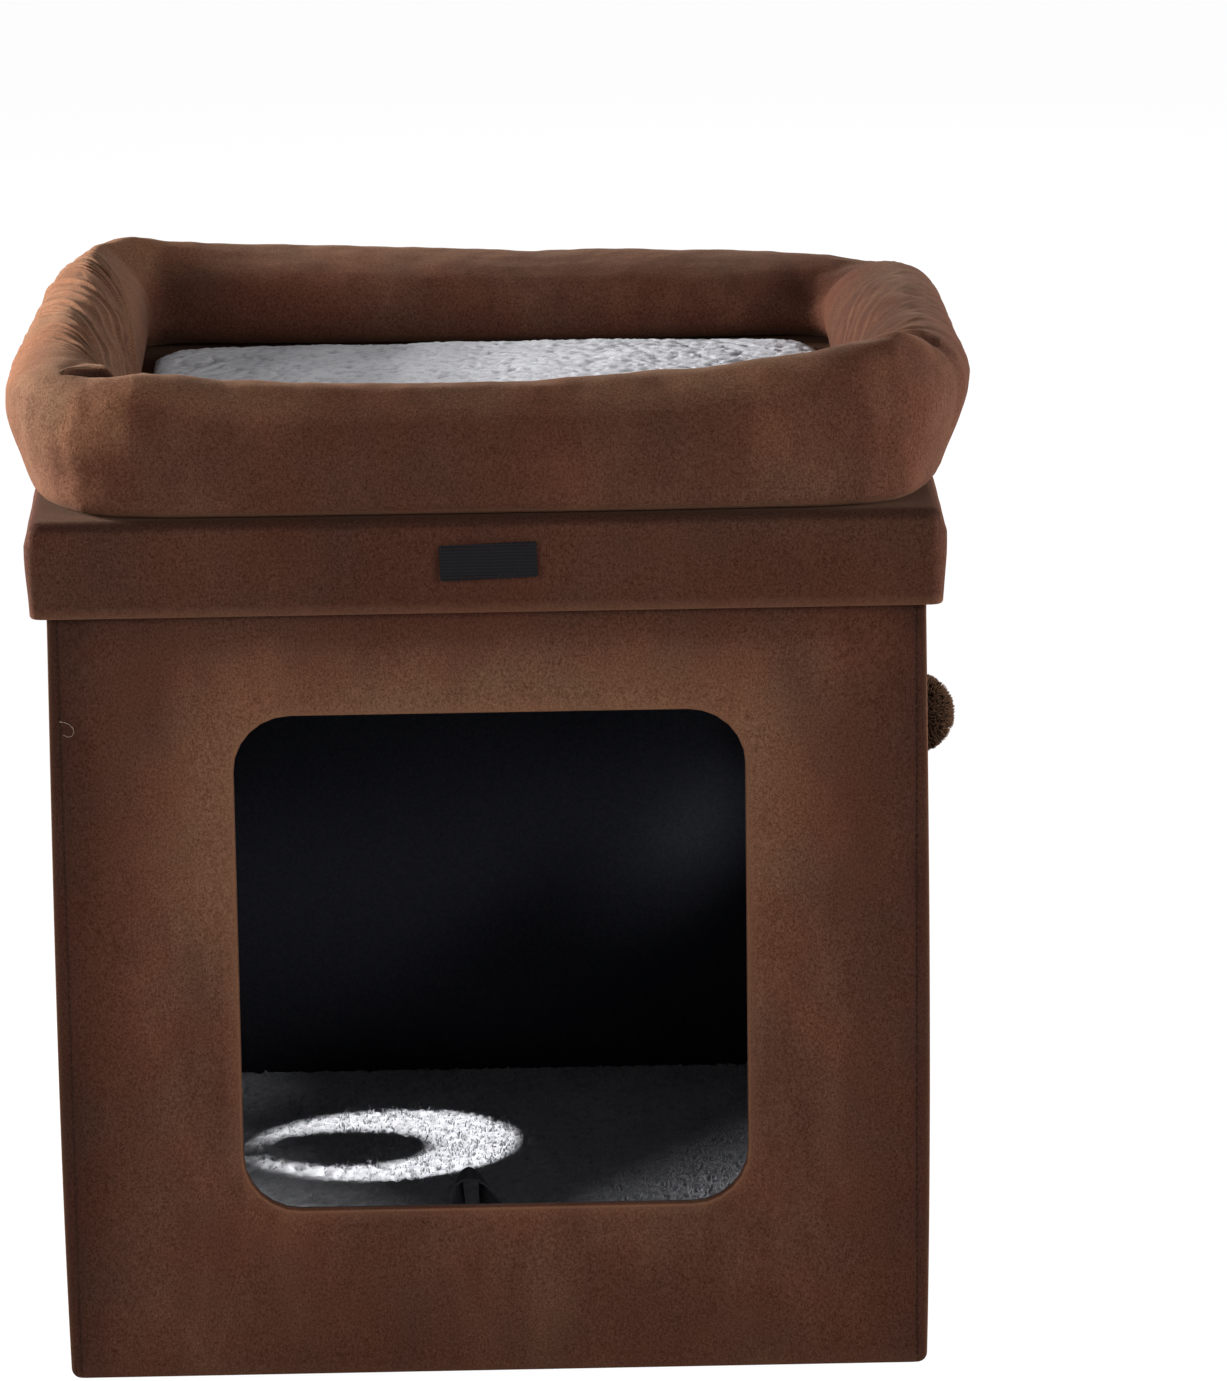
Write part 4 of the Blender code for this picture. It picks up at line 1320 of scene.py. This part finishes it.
class CATHOUSE_OT_toy(bpy.types.Operator):
    """Webbing tab, cord and pompom outside the round hole."""

    bl_idname = "cathouse.toy"
    bl_label = "Toy"

    def execute(self, context):
        self.cord(*self.pompom())
        self.tab()
        return {"FINISHED"}

    def pompom(self):
        """A dark core and the yarn ends all over it."""
        low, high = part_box("toy_pompom")
        centre = (low + high) / 2
        radius = (high.z - low.z) / 2
        model = bmesh.new()
        bmesh.ops.create_icosphere(
            model, subdivisions=4, radius=radius * 0.86, matrix=Matrix.Translation(centre)
        )
        for vert in model.verts:
            out = (vert.co - centre).normalized()
            vert.co += out * noise.noise(out * 9) * 1.2 * MM
        core = new_piece("yarn_pompom_core", model, finish_of("yarn"), sharp=0)
        note(core.data, "tip", np.zeros(len(core.data.vertices)))
        settle(core, "toy", "yarn")
        draw = random.Random(7)

        def scatter(spread):
            return Vector([draw.gauss(0, spread) for _ in range(3)])

        model = bmesh.new()
        for _ in range(settings("toy").fibres):
            out = scatter(1).normalized()
            lean = (out + scatter(0.16)).normalized()
            length = radius * draw.uniform(0.19, 0.25)
            middle = centre + out * (radius * 0.8) + lean * length / 2
            add_rod(model, middle, lean, length, (0.4 * MM, 0.2 * MM), 3)
        ball = new_piece("yarn_pompom", model, finish_of("yarn"), sharp=0)
        away = np.linalg.norm(points_of(ball.data) - np.array(centre), axis=1)
        note(ball.data, "tip", smoothstep(away, radius * 0.92, radius * 1.08))
        settle(ball, "toy", "yarn", "toy_pompom")
        press_to_side(ball)
        press_to_side(core)
        return ball, core

    def cord(self, *ends):
        """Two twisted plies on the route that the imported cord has, from the tab to the pompom."""
        low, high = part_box("toy_pompom")
        ball = (low + high) / 2
        tab_low, tab_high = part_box("toy_tab")
        start = Vector(((tab_low.x + tab_high.x) / 2, ball.y, tab_low.z - 0.3 * MM))
        bend = start.lerp(ball, 0.4)
        bend.x = start.x + (ball.x - start.x) * 0.2
        end = ball - (ball - bend).normalized() * ((high.z - low.z) / 2 + 0.3 * MM)
        last = 24
        sides = 12
        shares = [i / last for i in range(last + 1)]
        path = [start.lerp(bend, t).lerp(bend.lerp(end, t), t) for t in shares]
        length = sum((b - a).length for a, b in zip(path, path[1:]))
        model = bmesh.new()
        ring = None
        for number, place in enumerate(path):
            along = (path[min(number + 1, last)] - path[max(number - 1, 0)]).normalized()
            set_down = stood(place, along)
            made = bmesh.ops.create_circle(
                model, cap_ends=number in (0, last), segments=sides, radius=1.1 * MM, matrix=set_down
            )["verts"]
            for vert in made:
                out = set_down.inverted() @ vert.co
                ply = abs(math.cos(math.atan2(out.y, out.x) - number * 0.55))
                vert.co = place + (vert.co - place) * (0.76 + 0.24 * ply)
            if ring:
                for i in range(sides):
                    model.faces.new((ring[i - 1], ring[i], made[i], made[i - 1]))
            ring = made
        bmesh.ops.recalc_face_normals(model, faces=model.faces)
        cord = new_piece("yarn_cord", model, finish_of("yarn"), sharp=0)
        note(cord.data, "tip", np.zeros(len(cord.data.vertices)))
        settle(cord, "toy", "yarn", "toy_cord")
        press_to_side(cord)

    def tab(self):
        model = merged_copy("toy_tab")
        bevel(model, model.edges[:], 0.7 * MM, 2)
        tab = new_piece("tape_toy_tab", model, finish_of("webbing"))
        settle(tab, "right_rear", "webbing", "toy_tab")
        press_to_side(tab)


class CATHOUSE_PT_panel(bpy.types.Panel):
    """Makes the pieces, and shows what can be changed about them."""

    bl_idname = "CATHOUSE_PT_panel"
    bl_label = "Foldable cat house"
    bl_space_type = "VIEW_3D"
    bl_region_type = "UI"
    bl_category = "Cat house"

    def draw(self, context):
        for group in GROUPS:
            values = settings(group)
            box = self.layout.box()
            box.label(text=group.capitalize())
            for name in values.bl_rna.properties.keys():
                if name not in {"rna_type", "name"}:
                    box.prop(values, name)
        for operator in OPERATORS:
            self.layout.operator(operator.bl_idname)


GROUPS = {"suede": HouseSuede, "plush": HousePlush, "rim": HouseRim, "toy": HouseToy}
OPERATORS = (
    CATHOUSE_OT_studio,
    CATHOUSE_OT_toy,
    CATHOUSE_OT_linings,
    CATHOUSE_OT_end_walls,
    CATHOUSE_OT_side_walls,
    CATHOUSE_OT_floor,
    CATHOUSE_OT_lid,
    CATHOUSE_OT_bed,
)


def register():
    for kind in (*GROUPS.values(), *OPERATORS, CATHOUSE_PT_panel):
        bpy.utils.register_class(kind)
    for name, group in GROUPS.items():
        setattr(bpy.types.Scene, "cat_house_" + name, PointerProperty(type=group))


def unregister():
    for name in GROUPS:
        delattr(bpy.types.Scene, "cat_house_" + name)
    for kind in (CATHOUSE_PT_panel, *OPERATORS, *GROUPS.values()):
        bpy.utils.unregister_class(kind)


def main():
    register()
    for operator in OPERATORS:
        getattr(bpy.ops.cathouse, operator.bl_idname.split(".")[1])()


if __name__ == "__main__":
    main()
